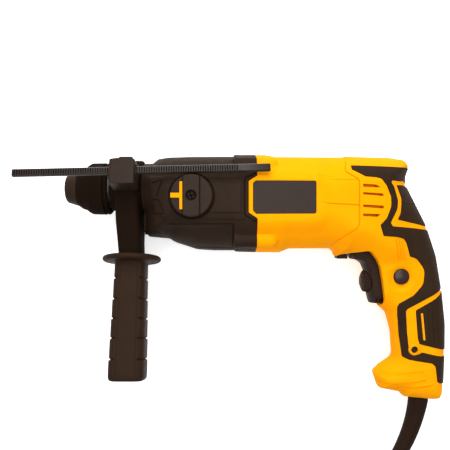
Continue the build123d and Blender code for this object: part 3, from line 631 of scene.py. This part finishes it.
def skin(name, cut, holes, features, thick, sides, material, replaced=(), pad=None):
    """A moulded wall over the part of the form inside a cut loop: the left flank (1), the right one
    (-1) or both, with relief and a real thickness. A pad lies on it with its edge sunk in."""
    lines = [line for feature in features for line in feature.lines]
    extra = [rim_points()] + [offset_points(*line) for line in lines]
    if pad is not None:
        extra.append(offset_points(pad, True, (0.35, 0.8, 1.3)))
    flat, triangles = flat_mesh([FORM, cut], holes, np.vstack(extra))
    height = form_height(flat)
    for feature in features:
        height = feature.apply(flat, height)
    lowest, rim_tolerance = 0.4, 0.03
    height = np.maximum(height, lowest)
    on_rim = distance(flat, FORM) < rim_tolerance
    height[on_rim] = 0
    corner = flat[triangles]
    clockwise = np.cross(corner[:, 1] - corner[:, 0], corner[:, 2] - corner[:, 0]) < 0
    triangles[clockwise] = triangles[clockwise][:, ::-1]
    outer = np.column_stack([flat, height])
    normals = point_normals(outer, triangles)
    normals[on_rim, 2] = 0
    normals /= np.maximum(np.linalg.norm(normals, axis=1, keepdims=True), 1e-12)
    if pad is not None:
        sunk, proud = 0.9, 0.75
        lift = (sunk + proud) * smooth(depth_inside(flat, pad), 0, 0.9) - sunk
        outer = outer + normals * lift[:, None]
    inner = outer - normals * thick
    split = len(sides) == 1
    middle = 0.06 if split else 0
    outer[on_rim, 2], inner[on_rim, 2] = middle, middle
    inner[:, 2] = np.maximum(inner[:, 2], middle)
    count = len(flat)
    edges = {edge: True for a, b, c in triangles for edge in ((a, b), (b, c), (c, a))}
    open_edges = [(a, b) for a, b in edges if (b, a) not in edges]
    quads = [(b, a, a + count, b + count) for a, b in open_edges
             if split or not (on_rim[a] and on_rim[b])]
    points = np.vstack([outer, inner])
    faces = [tuple(f) for block in (triangles, triangles[:, ::-1] + count) for f in block] + quads
    if sides == (-1,):
        points = points * (1, 1, -1)
        faces = [f[::-1] for f in faces]
    elif not split:
        number = np.arange(len(points))
        fresh = np.flatnonzero(~np.concatenate([on_rim, on_rim]))
        number[fresh] = len(points) + np.arange(len(fresh))
        faces += [tuple(number[i] for i in f[::-1]) for f in faces]
        points = np.vstack([points, points[fresh] * (1, 1, -1)])
    return new_piece(name, points, faces, material, "body", replaced)


# ---- turned, lofted and softened pieces ----
def prism_faces(count):
    """Faces of a prism on a counter-clockwise outline: low points first, high points after them."""
    sides = [(i, (i + 1) % count, count + (i + 1) % count, count + i) for i in range(count)]
    return [tuple(range(count))[::-1], tuple(range(count, 2 * count))] + sides


def loft_faces(rows, columns, ring=False):
    """Faces over a row of closed sections, which either form a ring or have closed ends."""
    faces = []
    for i in range(rows if ring else rows - 1):
        low, high = i * columns, (i + 1) % rows * columns
        for j in range(columns):
            k = (j + 1) % columns
            faces.append((low + j, low + k, high + k, high + j))
    if not ring:
        faces.append(tuple(range(columns))[::-1])
        faces.append(tuple((rows - 1) * columns + j for j in range(columns)))
    return faces


def turned(name, profile, y, z, body, material, replaced=(), around=96, wave=None):
    """Revolves a closed profile of (x, radius, corner radius) about a line along X. A wave changes
    the radius round the axis."""
    path = rounded(profile, 0.8)
    points = []
    for x, r in path:
        for j in range(around):
            a = 2 * pi * j / around
            r_here = r if wave is None else wave(x, r, a)
            points.append((x, y + r_here * cos(a), z + r_here * sin(a)))
    faces = loft_faces(len(path), around, ring=True)
    if turns_left(path):
        faces = [f[::-1] for f in faces]
    return new_piece(name, points, faces, material, body, replaced)


def node_mesh(node):
    """A copy of a CAD node's mesh, in the shared frame."""
    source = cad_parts[node]
    mesh = source.data.copy()
    mesh.transform(source.matrix_world)
    return mesh


def moved_points(mesh, change):
    """Passes a mesh's points, in millimetres, through a function."""
    points = np.empty(len(mesh.vertices) * 3)
    mesh.vertices.foreach_get("co", points)
    mesh.vertices.foreach_set("co", (change(points.reshape(-1, 3) / MM) * MM).ravel())
    mesh.update()


def reshaped(node, name, body, material, change):
    """A CAD node's mesh with its points moved."""
    mesh = node_mesh(node)
    moved_points(mesh, change)
    painted(mesh, material)
    return attached(linked(name, mesh), body, [node])


def softened(node, body, material, voxel, rounds, change=None):
    """A CAD node's shape with moulded, softly rounded edges."""
    piece = linked(node + "_moulded", node_mesh(node))
    remesh = piece.modifiers.new("remesh", "REMESH")
    remesh.mode = "VOXEL"
    remesh.voxel_size = voxel * MM
    relax = piece.modifiers.new("relax", "SMOOTH")
    relax.factor, relax.iterations = 0.5, rounds
    made = baked(piece)
    if change:
        moved_points(made, change)
    painted(made, material)
    made.shade_smooth()
    return attached(piece, body, [node])


# ---- housings ----
LABEL = [(164.3, 2.4, 0.6), (166.8, 4.8, 0.6), (217.4, 4.6, 2), (217.4, -23.2, 2),
         (167, -23.4, 0.6), (164.3, -20.6, 0.6)]
BEZEL = [(130, 19, 2), (224, 18, 14), (233, 4, 12), (233, -26, 12), (224, -40, 14), (130, -40, 2)]


def add_gear_housing():
    cut = rounded([(70, 60), (JOINT_X, 60)] + TONGUE + [(JOINT_X, -70), (70, -70)], 1.4)
    features = [
        Area([(98, 3.2, 1), (155.2, 3.2, 1.2), (155.2, -22.2, 1.2), (98, -22.2, 1)], 1.05, 0.7),
        Area([(76, 9, 2), (157.6, 9, 2), (158.6, 8, 1), (158.6, 6, 1), (157.2, 5, 0.5),
              (157.2, -23, 0.5), (158.6, -24.6, 1), (158.6, -28.4, 1.5), (93, -28.4, 2),
              (80, -22, 3)], 0.8, 0.8),
        Groove([(JOINT_X + 2, 13), (158, 6.6, 1), (158, -24.2, 1), (JOINT_X + 2, -31.4)], 1.1, 0.7),
        Groove([(80.5, 3.2), (88.8, 5.4, 0.6), (84.8, -6.8)], 1.2, 0.8),
        Groove([(80.5, -11.2), (85, -11.2, 0.6), (89.8, -23.2, 0.8), (80.5, -22.6)], 1.2, 0.8),
        Groove(ring(*KNOB, KNOB_R + 1.2), 1.6, 1.1),
        Groove([(92, -31.5), (148.5, -31.5, 2), (148.5, -58)], 1.4, 0.9),
        Groove([(100, -49), (116.7, -51.3, 20), (148, -51.8)], 1.0, 0.8),
        Area([(84, -30.5, 4), (148.2, -30.5, 1), (148.2, -80), (84, -80)], -2.8, 5.5),
        Boss(149.5, JOINT_X + 20, -44.8, 24.2, 7.6),
        Boss(149.5, JOINT_X + 20, 18.8, 21.0, 7.4),
        Groove(JOINT_LINE, 0.5, 0.6),
    ]
    skin("gear_housing_cover", cut, [], features, WALL, (1, -1), dark_plastic,
         ["gear_housing"])
    turned("gear_nose",
           [(41.5, 13.7, 0.3), (40.6, 15, 0.5), (40.8, 19.6, 0.6), (46.6, 19.8, 0.3),
            (46.9, 21.9, 0.4), (84, 21.9), (84, 17), (47, 17), (46.5, 13.7)],
           0, 0, "body", chuck_plastic)


def add_front_wall():
    """Closes the gear housing's front around the nose."""
    heights = np.linspace(22.3, -41, 40)
    half = form_height(np.column_stack([np.full(40, 71.5), heights])) * 0.985
    loop = list(zip(heights, half)) + list(zip(heights[::-1], -half[::-1]))
    points = [(x, y, z) for x in (70.2, 73) for y, z in loop]
    faces = [f[::-1] for f in prism_faces(len(loop))]
    new_piece("gear_front_wall", points, faces, dark_plastic, "body")


def add_bulkhead():
    """The bearing plate, drawn in to stay inside the moulded walls."""
    def drawn_in(points):
        x, y, z = points.T
        y = np.clip(y, -52.4, 26.6)
        room = form_height(np.column_stack([x, y])) - WALL - 0.6
        return np.column_stack([x, y, np.clip(z, -room, room)])
    reshaped("bearing_plate", "bulkhead", "body", cast_alloy, drawn_in)


def add_housing_screws():
    """Long screws inside the four bosses, heads under the bosses' ends."""
    profile = [(154, 0.02), (154, 1.9, 0.4), (177, 1.9, 0.2), (177, 3.5, 0.3), (180.5, 3.5, 0.6),
               (180.5, 1.8, 0.2), (179, 1.5, 0.1), (179, 0.02)]
    for i, (y, z) in enumerate(((18.8, 21), (18.8, -21), (-44.8, 24.2), (-44.8, -24.2))):
        turned(f"housing_screw_{i + 1}", profile, y, z, "body", black_screw,
               ["housing_screws"] if i == 0 else (), 24)


def add_motor_housing():
    cut = rounded([(JOINT_X, 60)] + SEAM + [(JOINT_X, -70)] + TONGUE[::-1], 1.4)
    features = [
        Boss(JOINT_X - 20, 179, -44.8, 24.8, 7.8),
        Boss(JOINT_X - 20, 180.5, 18.8, 21.0, 7.0),
        Groove([(JOINT_X, -32), (196, -32.4), (196, -42, 3)], 0.3, 1.3),
        Groove([(229, 5.6), (253, 5.2)], 0.45, 0.5),
        Groove([(221, -14.2), (253, -15.8)], 1.0, 0.6),
        Level(BEZEL, LABEL_Z[1], 14),
        Groove([(JOINT_X, 9.2), (205, 8.8), (232, 7.6)], 0.45, 1.1),
        Level(LABEL, 38.0, 0.35),
        Groove(JOINT_LINE, 0.5, 0.6),
        Groove(SEAM[1:-1], 1.2, 0.55),
    ]
    skin("motor_housing_cover", cut, [], features, WALL, (1, -1), yellow_plastic,
         ["motor_housing"])


def add_labels():
    """A plain plate in each flank's label recess, with bevelled edges."""
    plate = rounded([(164.65, 2.2, 0.5), (166.9, 4.45, 0.5), (217.05, 4.25, 1.7),
                     (217.05, -22.85, 1.7), (167.1, -23.05, 0.5), (164.65, -20.4, 0.5)], 1.0)[::-1]
    low, high = LABEL_Z
    for name, bottom, top, replaced in (("label_left", low, high, ["label_plates"]),
                                        ("label_right", -high, -low, ())):
        points = [(x, y, z) for z in (bottom, top) for x, y in plate]
        piece = new_piece(name, points, prism_faces(len(plate)), label_film, "body",
                          replaced)
        bevel = piece.modifiers.new("edges", "BEVEL")
        bevel.width, bevel.segments = 0.2 * MM, 3
        bevel.limit_method, bevel.angle_limit = "ANGLE", radians(40)
        bevel.harden_normals = False


# ---- rear handle ----
VENTS = [[(256.2, 2.0, 0.7), (267.8, 1.5, 0.7), (272.3, -1.1, 0.5), (256.2, -0.7, 0.7)],
         [(256.2, -5.0, 0.7), (273.6, -5.9, 0.7), (274.9, -8.2, 0.5), (256.2, -6.9, 0.7)],
         [(256.2, -15.3, 0.7), (274.8, -16.2, 0.5), (274.2, -18.7, 0.7), (256.2, -17.4, 0.7)],
         [(256.2, -22.7, 0.7), (271.9, -23.3, 0.5), (268.9, -25.6, 0.7), (256.2, -25, 0.7)]]
MAIN_PAD = [
    (247.2, 18.4, 0.5), (247.7, 13.8, 1), (258.4, 7.7, 2), (268, 7, 2), (272, 6, 2),
    (276.5, 0.5, 6), (280.4, -9, 8), (280.4, -17, 8), (276.6, -26.4, 8), (270.7, -32.2, 2),
    (273.8, -42.1, 2), (286.3, -43, 2), (292.9, -44.6, 2), (295.4, -48, 4), (299.6, -60, 2),
    (305.5, -61.4, 9), (313.4, -71, 11), (312.6, -83.5, 10), (304.5, -92.8, 9), (291.6, -100, 2),
    (290.2, -103.4, 2), (295.6, -147.6, 2), (300.7, -149.7, 2), (320.6, -153, 1),
    (323.3, -155.4, 2), (325, -168.8, 2), (328.2, -170.9, 1), (345, -175), (345, -150),
    (329, -146.3), (312, -142.2, 1), (308.4, -144.4, 4), (302.2, -143.8, 4), (301.2, -137.4, 3),
    (299.9, -125.1), (298.6, -107.6, 1.5), (299.6, -105.6, 1.5), (340, -84.4), (340, -38.6),
    (313, -35.7), (301.7, -34.4), (282.8, -33, 0.6), (281.2, -30.4, 1), (287, -19, 8),
    (287.9, -12, 8), (284.4, 0, 6), (280.9, 4.7, 1), (291.3, 4.4, 3), (296, 5.2, 3), (300, 3.6),
    (330, 0.6), (330, 19), (303, 18.2), (290.6, 17.3, 1)]
BACK_PAD = [
    (286.1, 1.8, 0.8), (290.9, -10, 10), (289.6, -21.9, 8), (286.5, -28.2, 0.8), (300.5, -31),
    (312, -33.3), (340, -36.9), (340, -0.8), (300, 1), (293, 2.4, 2)]
RIB_PAD = [
    (345, -84), (306.4, -105.8, 1.2), (306, -107.6, 1.2), (307.8, -130.5, 2), (309.4, -136, 2),
    (345, -145.3)]


def add_handle():
    cut = rounded(SEAM + [(262, -200), (350, -200), (350, 40)], 1.4)
    opening = rounded(TRIGGER_OPENING, 1.0)
    both_sides = [
        Area([(270, -70, 8), (300, -58, 12), (314, -66, 10), (313, -84, 10), (304, -94, 10),
              (284, -96, 8)], 0.5, 6),
        Groove([(285.7, -45.1), (290.2, -62.2)], 0.8, 0.45),
        Groove([(288.4, -45.5), (292.7, -62.2)], 0.8, 0.45),
        Groove([(291.2, -46.1), (295.3, -62.2)], 0.8, 0.45),
        Area([(262, -162.8), (284, -162.4, 20), (313.5, -160.4, 1.5), (316.2, -162.2, 1.5),
              (316.2, -166.2, 1.5), (306.9, -168, 10), (294.8, -169.4, 10), (262, -171.2)],
             1.5, 0.8),
        Groove([(264, -162.2), (284, -161.8, 10), (314, -159.8)], 0.7, 0.7),
        Groove([(289.5, -174.9), (300.4, -174.4, 10), (320.1, -171.8)], 1.3, 0.9),
        Groove(SEAM[1:-1], 1.2, 0.55),
    ] + [Area(vent, -9.0, 0.3) for vent in VENTS]
    left_only = [Area(ring(BUTTON[0] - 0.8, BUTTON[1] - 1.6, BUTTON_R + 5), -2.2, 4.4),
                 Area(ring(*SCREW_HOLE, 5.1), 0.9, 1)]
    holes = [opening, ring(*BUTTON, BUTTON_R + 0.35, 0.7), ring(*SCREW_HOLE, 3.1, 0.5)]
    skin("handle_left_cover", cut, holes, both_sides + left_only, HANDLE_WALL, (1,), yellow_plastic,
         ["handle_left_shell"])
    skin("handle_right_cover", cut, [opening], both_sides, HANDLE_WALL, (-1,), yellow_plastic,
         ["handle_right_shell"])
    ribs = [Groove([(x, -96), (x + 3.2, -143)], 0.7, 0.6) for x in (316.2, 320.0, 324.0)]
    seams = [Groove([(276, -13.6), (320, -16.2)], 0.6, 0.5)]
    bar = rounded([(310.2, -108.4, 1.2), (312.9, -108.2, 1.2), (315.2, -132.6, 1.2),
                   (312.6, -132.8, 1.2)], 0.6)
    pads = (("main", MAIN_PAD, seams), ("back", BACK_PAD, seams), ("ribbed", RIB_PAD, ribs))
    for side, name in ((1, "left"), (-1, "right")):
        for part, outline, relief in pads:
            loop = rounded(outline, 1.2)
            hole = [ring(*SCREW_HOLE, 5.0, 0.8)] if part == "main" and side == 1 else []
            skin(f"{name}_{part}_pad", loop, hole, relief, PAD_WALL, (side,), rubber,
                 [f"{name}_rubber"] if part == "main" else (), loop)
        skin(f"{name}_pad_bar", bar, [], [Area(bar, 1.2, 0.6)], 1.0, (side,), yellow_plastic)


def add_trigger_well():
    """Walls from the trigger opening's edge inward, which stop just outside the trigger's sides."""
    low, thick, below_skin = 11.7, 1.5, 0.9
    loop = rounded(TRIGGER_OPENING, 1.0)
    run = directions(loop)
    outward = np.column_stack([run[:, 1], -run[:, 0]]) * (1 if turns_left(loop) else -1)
    top = form_height(loop) - below_skin
    keep = (depth_inside(loop, FORM) > 2) & (top > low + 0.5)
    first = next(i for i in range(len(loop)) if keep[i] and not keep[i - 1])
    order = [i % len(loop) for i in range(first, first + len(loop)) if keep[i % len(loop)]]
    near, far = loop[order] + outward[order] * 0.1, loop[order] + outward[order] * thick
    for side, name in ((1, "left"), (-1, "right")):
        points = [(*q, side * z) for a, b, t in zip(near, far, top[order])
                  for q, z in ((a, low), (a, t), (b, t), (b, low))]
        faces = loft_faces(len(order), 4)
        corners = np.array([[points[i] for i in f[:3]] for f in faces])
        volume = np.einsum("ij,ij->", corners[:, 0], np.cross(corners[:, 1], corners[:, 2]))
        if volume < 0:
            faces = [f[::-1] for f in faces]
        new_piece(f"trigger_well_{name}", points, faces, yellow_plastic, "body")


add_gear_housing()
add_front_wall()
add_motor_housing()
add_labels()
add_bulkhead()
add_housing_screws()
add_handle()
add_trigger_well()


# ---- chuck ----
def add_chuck():
    turned("dust_cap_moulded",
           [(0, 9.6, 0.3), (0, 10.8, 1.6), (1.0, 12.5, 1.6), (9.6, 15.2, 0.8), (10.9, 15.2, 0.3),
            (10.9, 12.3, 0.3), (8, 12.3, 0.2), (8, 9.6, 0.2)],
           0, 0, "body", cap_rubber, ["dust_cap"])
    turned("locking_sleeve_moulded",
           [(11.2, 12.7, 0.2), (11.2, 15.8, 0.4), (14, 17.8, 3), (19.7, 19.9, 0.4),
            (20.1, 20.9, 0.5), (23.6, 22.9, 3), (35.2, 23.1, 0.4), (35.7, 20.9, 0.2),
            (37.1, 20.9, 0.2), (37.5, 23.1, 0.5), (38.2, 23, 0.8), (39.7, 21.5, 0.5),
            (39.7, 20.3, 0.2), (37.5, 20.3), (32, 19.5, 0.2), (31, 17.3, 0.2), (26, 17.3, 0.2),
            (26, 12.7, 0.2)],
           0, 0, "sleeve", chuck_plastic, ["locking_sleeve"])


# ---- side handle and depth rod, in the handle's own frame: the grip hangs along -Y ----
def swung(points, turn=HANDLE_SWING):
    """Turns points about the spindle axis: by default from the handle's frame to where it rests."""
    x, y, z = np.asarray(points, float).T
    return np.column_stack([x, y * cos(turn) - z * sin(turn), y * sin(turn) + z * cos(turn)])


def unswung(points):
    return swung(points, -HANDLE_SWING)


def add_bracket():
    """The band and its block, with a crowned top; the block is painted lighter as painted light and
    the neck darker as painted shade.
    """
    def crowned(points):
        x, y, z = unswung(points).T
        share = smooth(y, 4, 11) * (z > BLOCK_Z)
        y = y + share * 1.1 * (1 - ((x - 57.9) / 10.7) ** 2)
        return swung(np.column_stack([x, y, z]))
    piece = softened("handle_bracket", "side_handle", chuck_plastic, 0.7, 9,
                     crowned)
    # painted light and shade: the block's faces take the lighter knob plastic, the neck keeps the
    # darker chuck plastic
    piece.data.materials.append(knob_plastic)
    for face in piece.data.polygons:
        x, y, z = unswung(np.array([face.center]) / MM)[0]
        face.material_index = 1 if y > -10.5 and z > BLOCK_Z else 0


def add_grip():
    """The flange and the grip: flat panels front and back, notched strips at the sides."""
    columns = 120
    angle = np.linspace(0, 2 * pi, columns, endpoint=False)
    across, forward = np.cos(angle), np.sin(angle)
    notches = [81.1, 98.6, 115.0, 131.3, 148.4]
    rim_r, rim_wide, rim_thick = 22.7, 2.6, 2.4
    rows = [(109, 4.15, 0), (FLANGE_TOP, 4.15, 0), (FLANGE_TOP, 12, 0), (FLANGE_TOP, 18, 0)]
    for t in np.linspace(0, pi, 12):
        rows.append((FLANGE_TOP + rim_thick - rim_thick * cos(t), rim_r + rim_wide * sin(t), 0))
    rows += [(FLANGE_TOP + 2 * rim_thick, 20.4, 0), (FLANGE_TOP + 2 * rim_thick + 0.1, 0, 1.6),
             (67.0, 0, 0.6), (68.2, 0, 0)]
    along = set(np.arange(70, 162.5, 2.5))
    for notch in notches:
        along = {s for s in along if abs(s - notch) > 1.4}
        along |= {notch + d for d in (-1.1, -0.9, -0.6, -0.3, 0, 0.3, 0.6, 0.9, 1.1)}
    rows += [(s, 0, 0) for s in sorted(along)]
    rows += [(163.4, 0, -0.15), (164.6, 0, -0.7), (165.4, 0, -1.5), (165.9, 0, -2.6),
             (GRIP_BOTTOM, 0, -4), (GRIP_BOTTOM, 0, -9)]
    points = []
    # a row is how far down it lies, and a circle's radius or what is added to the grip's section
    for s, circle, more in rows:
        if circle:
            points += list(zip(GRIP_X + circle * across, [-s] * columns, circle * forward))
            continue
        steps = sum(s > notch for notch in notches)
        wide = 13.5 + 0.30 * steps + 0.0035 * (s - 65) + more
        deep = 13.9 + (s - 65) * 0.018 + more
        r = ((abs(across) / wide) ** 4.2 + (abs(forward) / deep) ** 4.2) ** (-1 / 4.2)
        share = abs(r * across) / wide
        strip = smooth(share, 0.60, 0.72)
        for notch in notches:
            r = r - 1.3 * strip * max(1 - ((s - notch) / 0.95) ** 2, 0)
        if 69 < s < 163:
            r = r - 0.45 * np.clip(1 - (abs(share - 0.57) / 0.05) ** 2, 0, 1)
        points += list(zip(GRIP_X + r * across, [-s] * columns, r * forward))
    faces = [f[::-1] for f in loft_faces(len(rows), columns)]
    new_piece("side_grip_moulded", swung(points), faces, grip_rubber, "grip",
              ["side_grip"])


def add_rod():
    """A round bar with two flats, toothed across the flats over its front three quarters."""
    r, flat, tooth = ROD_THICK / 2, 2.3, 2.0
    corner = np.arccos(flat / r)
    half = [pi / 2 - corner + 2 * corner * k / 4 for k in range(5)]
    sides = list(np.linspace(pi / 2 + corner, 3 * pi / 2 - corner, 7)[1:-1])
    angle = np.array(half + sides + [a + pi for a in half] + [a + pi for a in sides])
    rows = [(ROD_START, 0.55, 0), (ROD_START + 0.15, 0.25, 0), (ROD_START + 0.6, 0, 0)]
    x = ROD_START + 2
    while x < 153:
        rows += [(x, 0, 0), (x + 0.05, 0, 1.3), (x + 1.0, 0, 1.3), (x + 1.05, 0, 0)]
        x += tooth
    rows += [(ROD_END - 0.6, 0, 0), (ROD_END - 0.15, 0.25, 0), (ROD_END, 0.55, 0)]
    points = []
    for x, edge, cut in rows:
        y, z = (r - edge) * np.cos(angle), (r - edge) * np.sin(angle)
        face = np.abs(np.sin(angle)) >= flat / r - 1e-6
        depth = flat - edge - cut * (np.abs(y) < 2.2)
        z = np.where(face, np.sign(z) * depth, z)
        along = x - ROD_PIVOT_X
        points += [(ROD_PIVOT_X + along * cos(ROD_SLOPE) - v * sin(ROD_SLOPE),
                    ROD_Y + along * sin(ROD_SLOPE) + v * cos(ROD_SLOPE), ROD_Z + w)
                   for v, w in zip(y, z)]
    faces = loft_faces(len(rows), len(angle))
    piece = new_piece("depth_rod_ridged", swung(points), faces, rod_finish, "rod",
                      ["depth_rod"], 30)
    # painted shade: the groove floors on the flats take the near-black material
    piece.data.materials.append(recess_painted_shade)
    for face in piece.data.polygons:
        row, side = divmod(face.index, len(angle))
        in_gap = row < len(rows) - 1 and rows[row][2] and rows[row + 1][2]
        on_flat = side in (1, 2) or side - len(half) - len(sides) in (1, 2)
        face.material_index = 1 if in_gap and on_flat else 0


# ---- controls ----
def add_controls():
    def pillow(points):
        """Rounds the trigger's front, and narrows its foot so that it clears the covers."""
        x, y, z = points.T
        front = np.interp(y, [-102, -93, -72, -66.4, -62.5, -58],
                          [270.4, 268.3, 265.6, 263, 256, 253])
        share = np.clip(1 - (x - front) / 11, 0, 1) * smooth(-y, 57, 66)
        y = y + 2.7 * smooth(y, -61, -58) * smooth(x, 252, 262)
        tuck = 0.6 * smooth(x, 267, 274) * smooth(-y, 95, 100.5)
        return np.column_stack([x + 4.6 * share * (np.abs(z) / 11) ** 2.4, y, z * (1 - tuck)])
    softened("trigger", "trigger", control_plastic, 0.5, 6, pillow)
    softened("reverse_lever", "lever", control_plastic, 0.35, 3)

    def knurled(x, r, a):
        return r - 0.75 * (0.5 + 0.5 * cos(24 * a)) ** 1.5 if r > 7 and x < 270.5 else r
    turned("speed_dial_knurled",
           [(262.6, 0.02), (262.9, 4.6, 2), (264.6, 8.6, 1.2), (265.6, DIAL_R, 0.8),
            (270.5, DIAL_R, 0.2), (270.55, 6), (270.55, 0.02)],
           DIAL_Y, 0, "dial", control_plastic, ["speed_dial"], 208, knurled)

    def domed(points):
        x, y, z = points.T
        off = ((x - BUTTON[0]) ** 2 + (y - BUTTON[1]) ** 2) / BUTTON_R ** 2
        return np.column_stack([x, y, z - 1.3 * np.clip(off, 0, 1) * smooth(z, 17, 20)])
    softened("lock_button", "lock", button_plastic, 0.35, 5, domed)

    def counterbored(points):
        x, y, z = points.T
        off = np.hypot(x - KNOB[0], y - KNOB[1])
        return np.column_stack([x, y, z - 2.2 * (off < 4.0) * smooth(z, 43.4, 43.9)])
    softened("mode_knob", "selector", knob_plastic, 0.42, 3, counterbored)
    softened("knob_pointer", "selector", yellow_plastic, 0.3, 2)


def add_springs():
    """The two springs, as copies of the CAD's meshes in spring steel."""
    for node, pressing, seat, start, end in (("sleeve_spring", "sleeve", "spindle", 26.8, 37.2),
                                             ("trigger_spring", "trigger", "body", 287.9, 294.9)):
        mesh = node_mesh(node)
        painted(mesh, spring_steel)
        piece = linked(node + "_wound", mesh)
        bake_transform(piece)
        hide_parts(node)


def add_knob_screw():
    """A domed head with a cross recess, below the mouth of the knob's bar."""
    z, r = 45.1, 2.9
    profile = [(41, 0.02), (41, 1.4), (43.6, 1.4), (43.6, r), (44.5, r), (44.9, 2.5), (z, 1.6),
               (z, 0.02)]
    around = 32
    points = [(KNOB[0] + q * cos(2 * pi * j / around), KNOB[1] + q * sin(2 * pi * j / around), h)
              for h, q in profile for j in range(around)]
    head = new_piece("knob_screw_head", points, loft_faces(len(profile), around), black_screw,
                     "selector", ["knob_screw"])
    arm, wing = 2.5, 0.62
    turn = radians(20)
    loop = []
    for k in range(4):
        for x, y in ((arm, wing), (wing, wing), (wing, arm)):
            for _ in range(k):
                x, y = -y, x
            loop.append((KNOB[0] + x * cos(turn) - y * sin(turn),
                         KNOB[1] + x * sin(turn) + y * cos(turn)))
    points = [(x, y, h) for h in (43.7, 47) for x, y in loop]
    cutter = linked("cross", mesh_of("cross", points, prism_faces(len(loop))))
    # painted shade: the cross recess's faces take the near-black material
    for mesh in (head.data, cutter.data):
        painted(mesh, black_screw, recess_painted_shade)
    for face in cutter.data.polygons:
        face.material_index = 1
    cut = head.modifiers.new("cross", "BOOLEAN")
    cut.operation, cut.solver, cut.object = "DIFFERENCE", "EXACT", cutter
    cut.material_mode = "INDEX"
    baked(head)
    bpy.data.objects.remove(cutter)


def add_lead_ends():
    for node, voxel, rounds in (("cable_boot", 0.7, 8), ("coil_tie", 0.45, 3), ("plug", 0.5, 5)):
        softened(node, "body", cord_rubber, voxel, rounds)


add_chuck()
add_bracket()
add_grip()
add_rod()
add_controls()
add_springs()
add_knob_screw()
add_lead_ends()
add_cord()


# ---- materials of the CAD nodes that stay as they are ----
NODE_MATERIALS = {
    ground_steel: ["tool_holder", "impact_bolt", "striker", "spindle_gear", "intermediate_shaft",
                   "intermediate_gear", "armature_shaft", "piston_pin", "wobble_hub",
                   "wobble_ring", "front_bearing", "ball_bearings", "locking_ball",
                   "sleeve_washers", "clamp_band", "clamp_bolt", "grip_nut"],
    black_screw: ["handle_screws"],
    cast_alloy: ["piston"],
    bronze: ["tube_bearing", "brush_holders"],
    copper: ["commutator"],
    laminations: ["stator", "armature_core"],
    carbon: ["carbon_brushes"],
    inner_plastic: ["cooling_fan", "switch_body", "capacitor", "cable_clamp"],
    rubber: ["oil_seal"],
    plated: ["plug_pins"],
}
for material, nodes in NODE_MATERIALS.items():
    for node in nodes:
        painted(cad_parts[node].data, material)
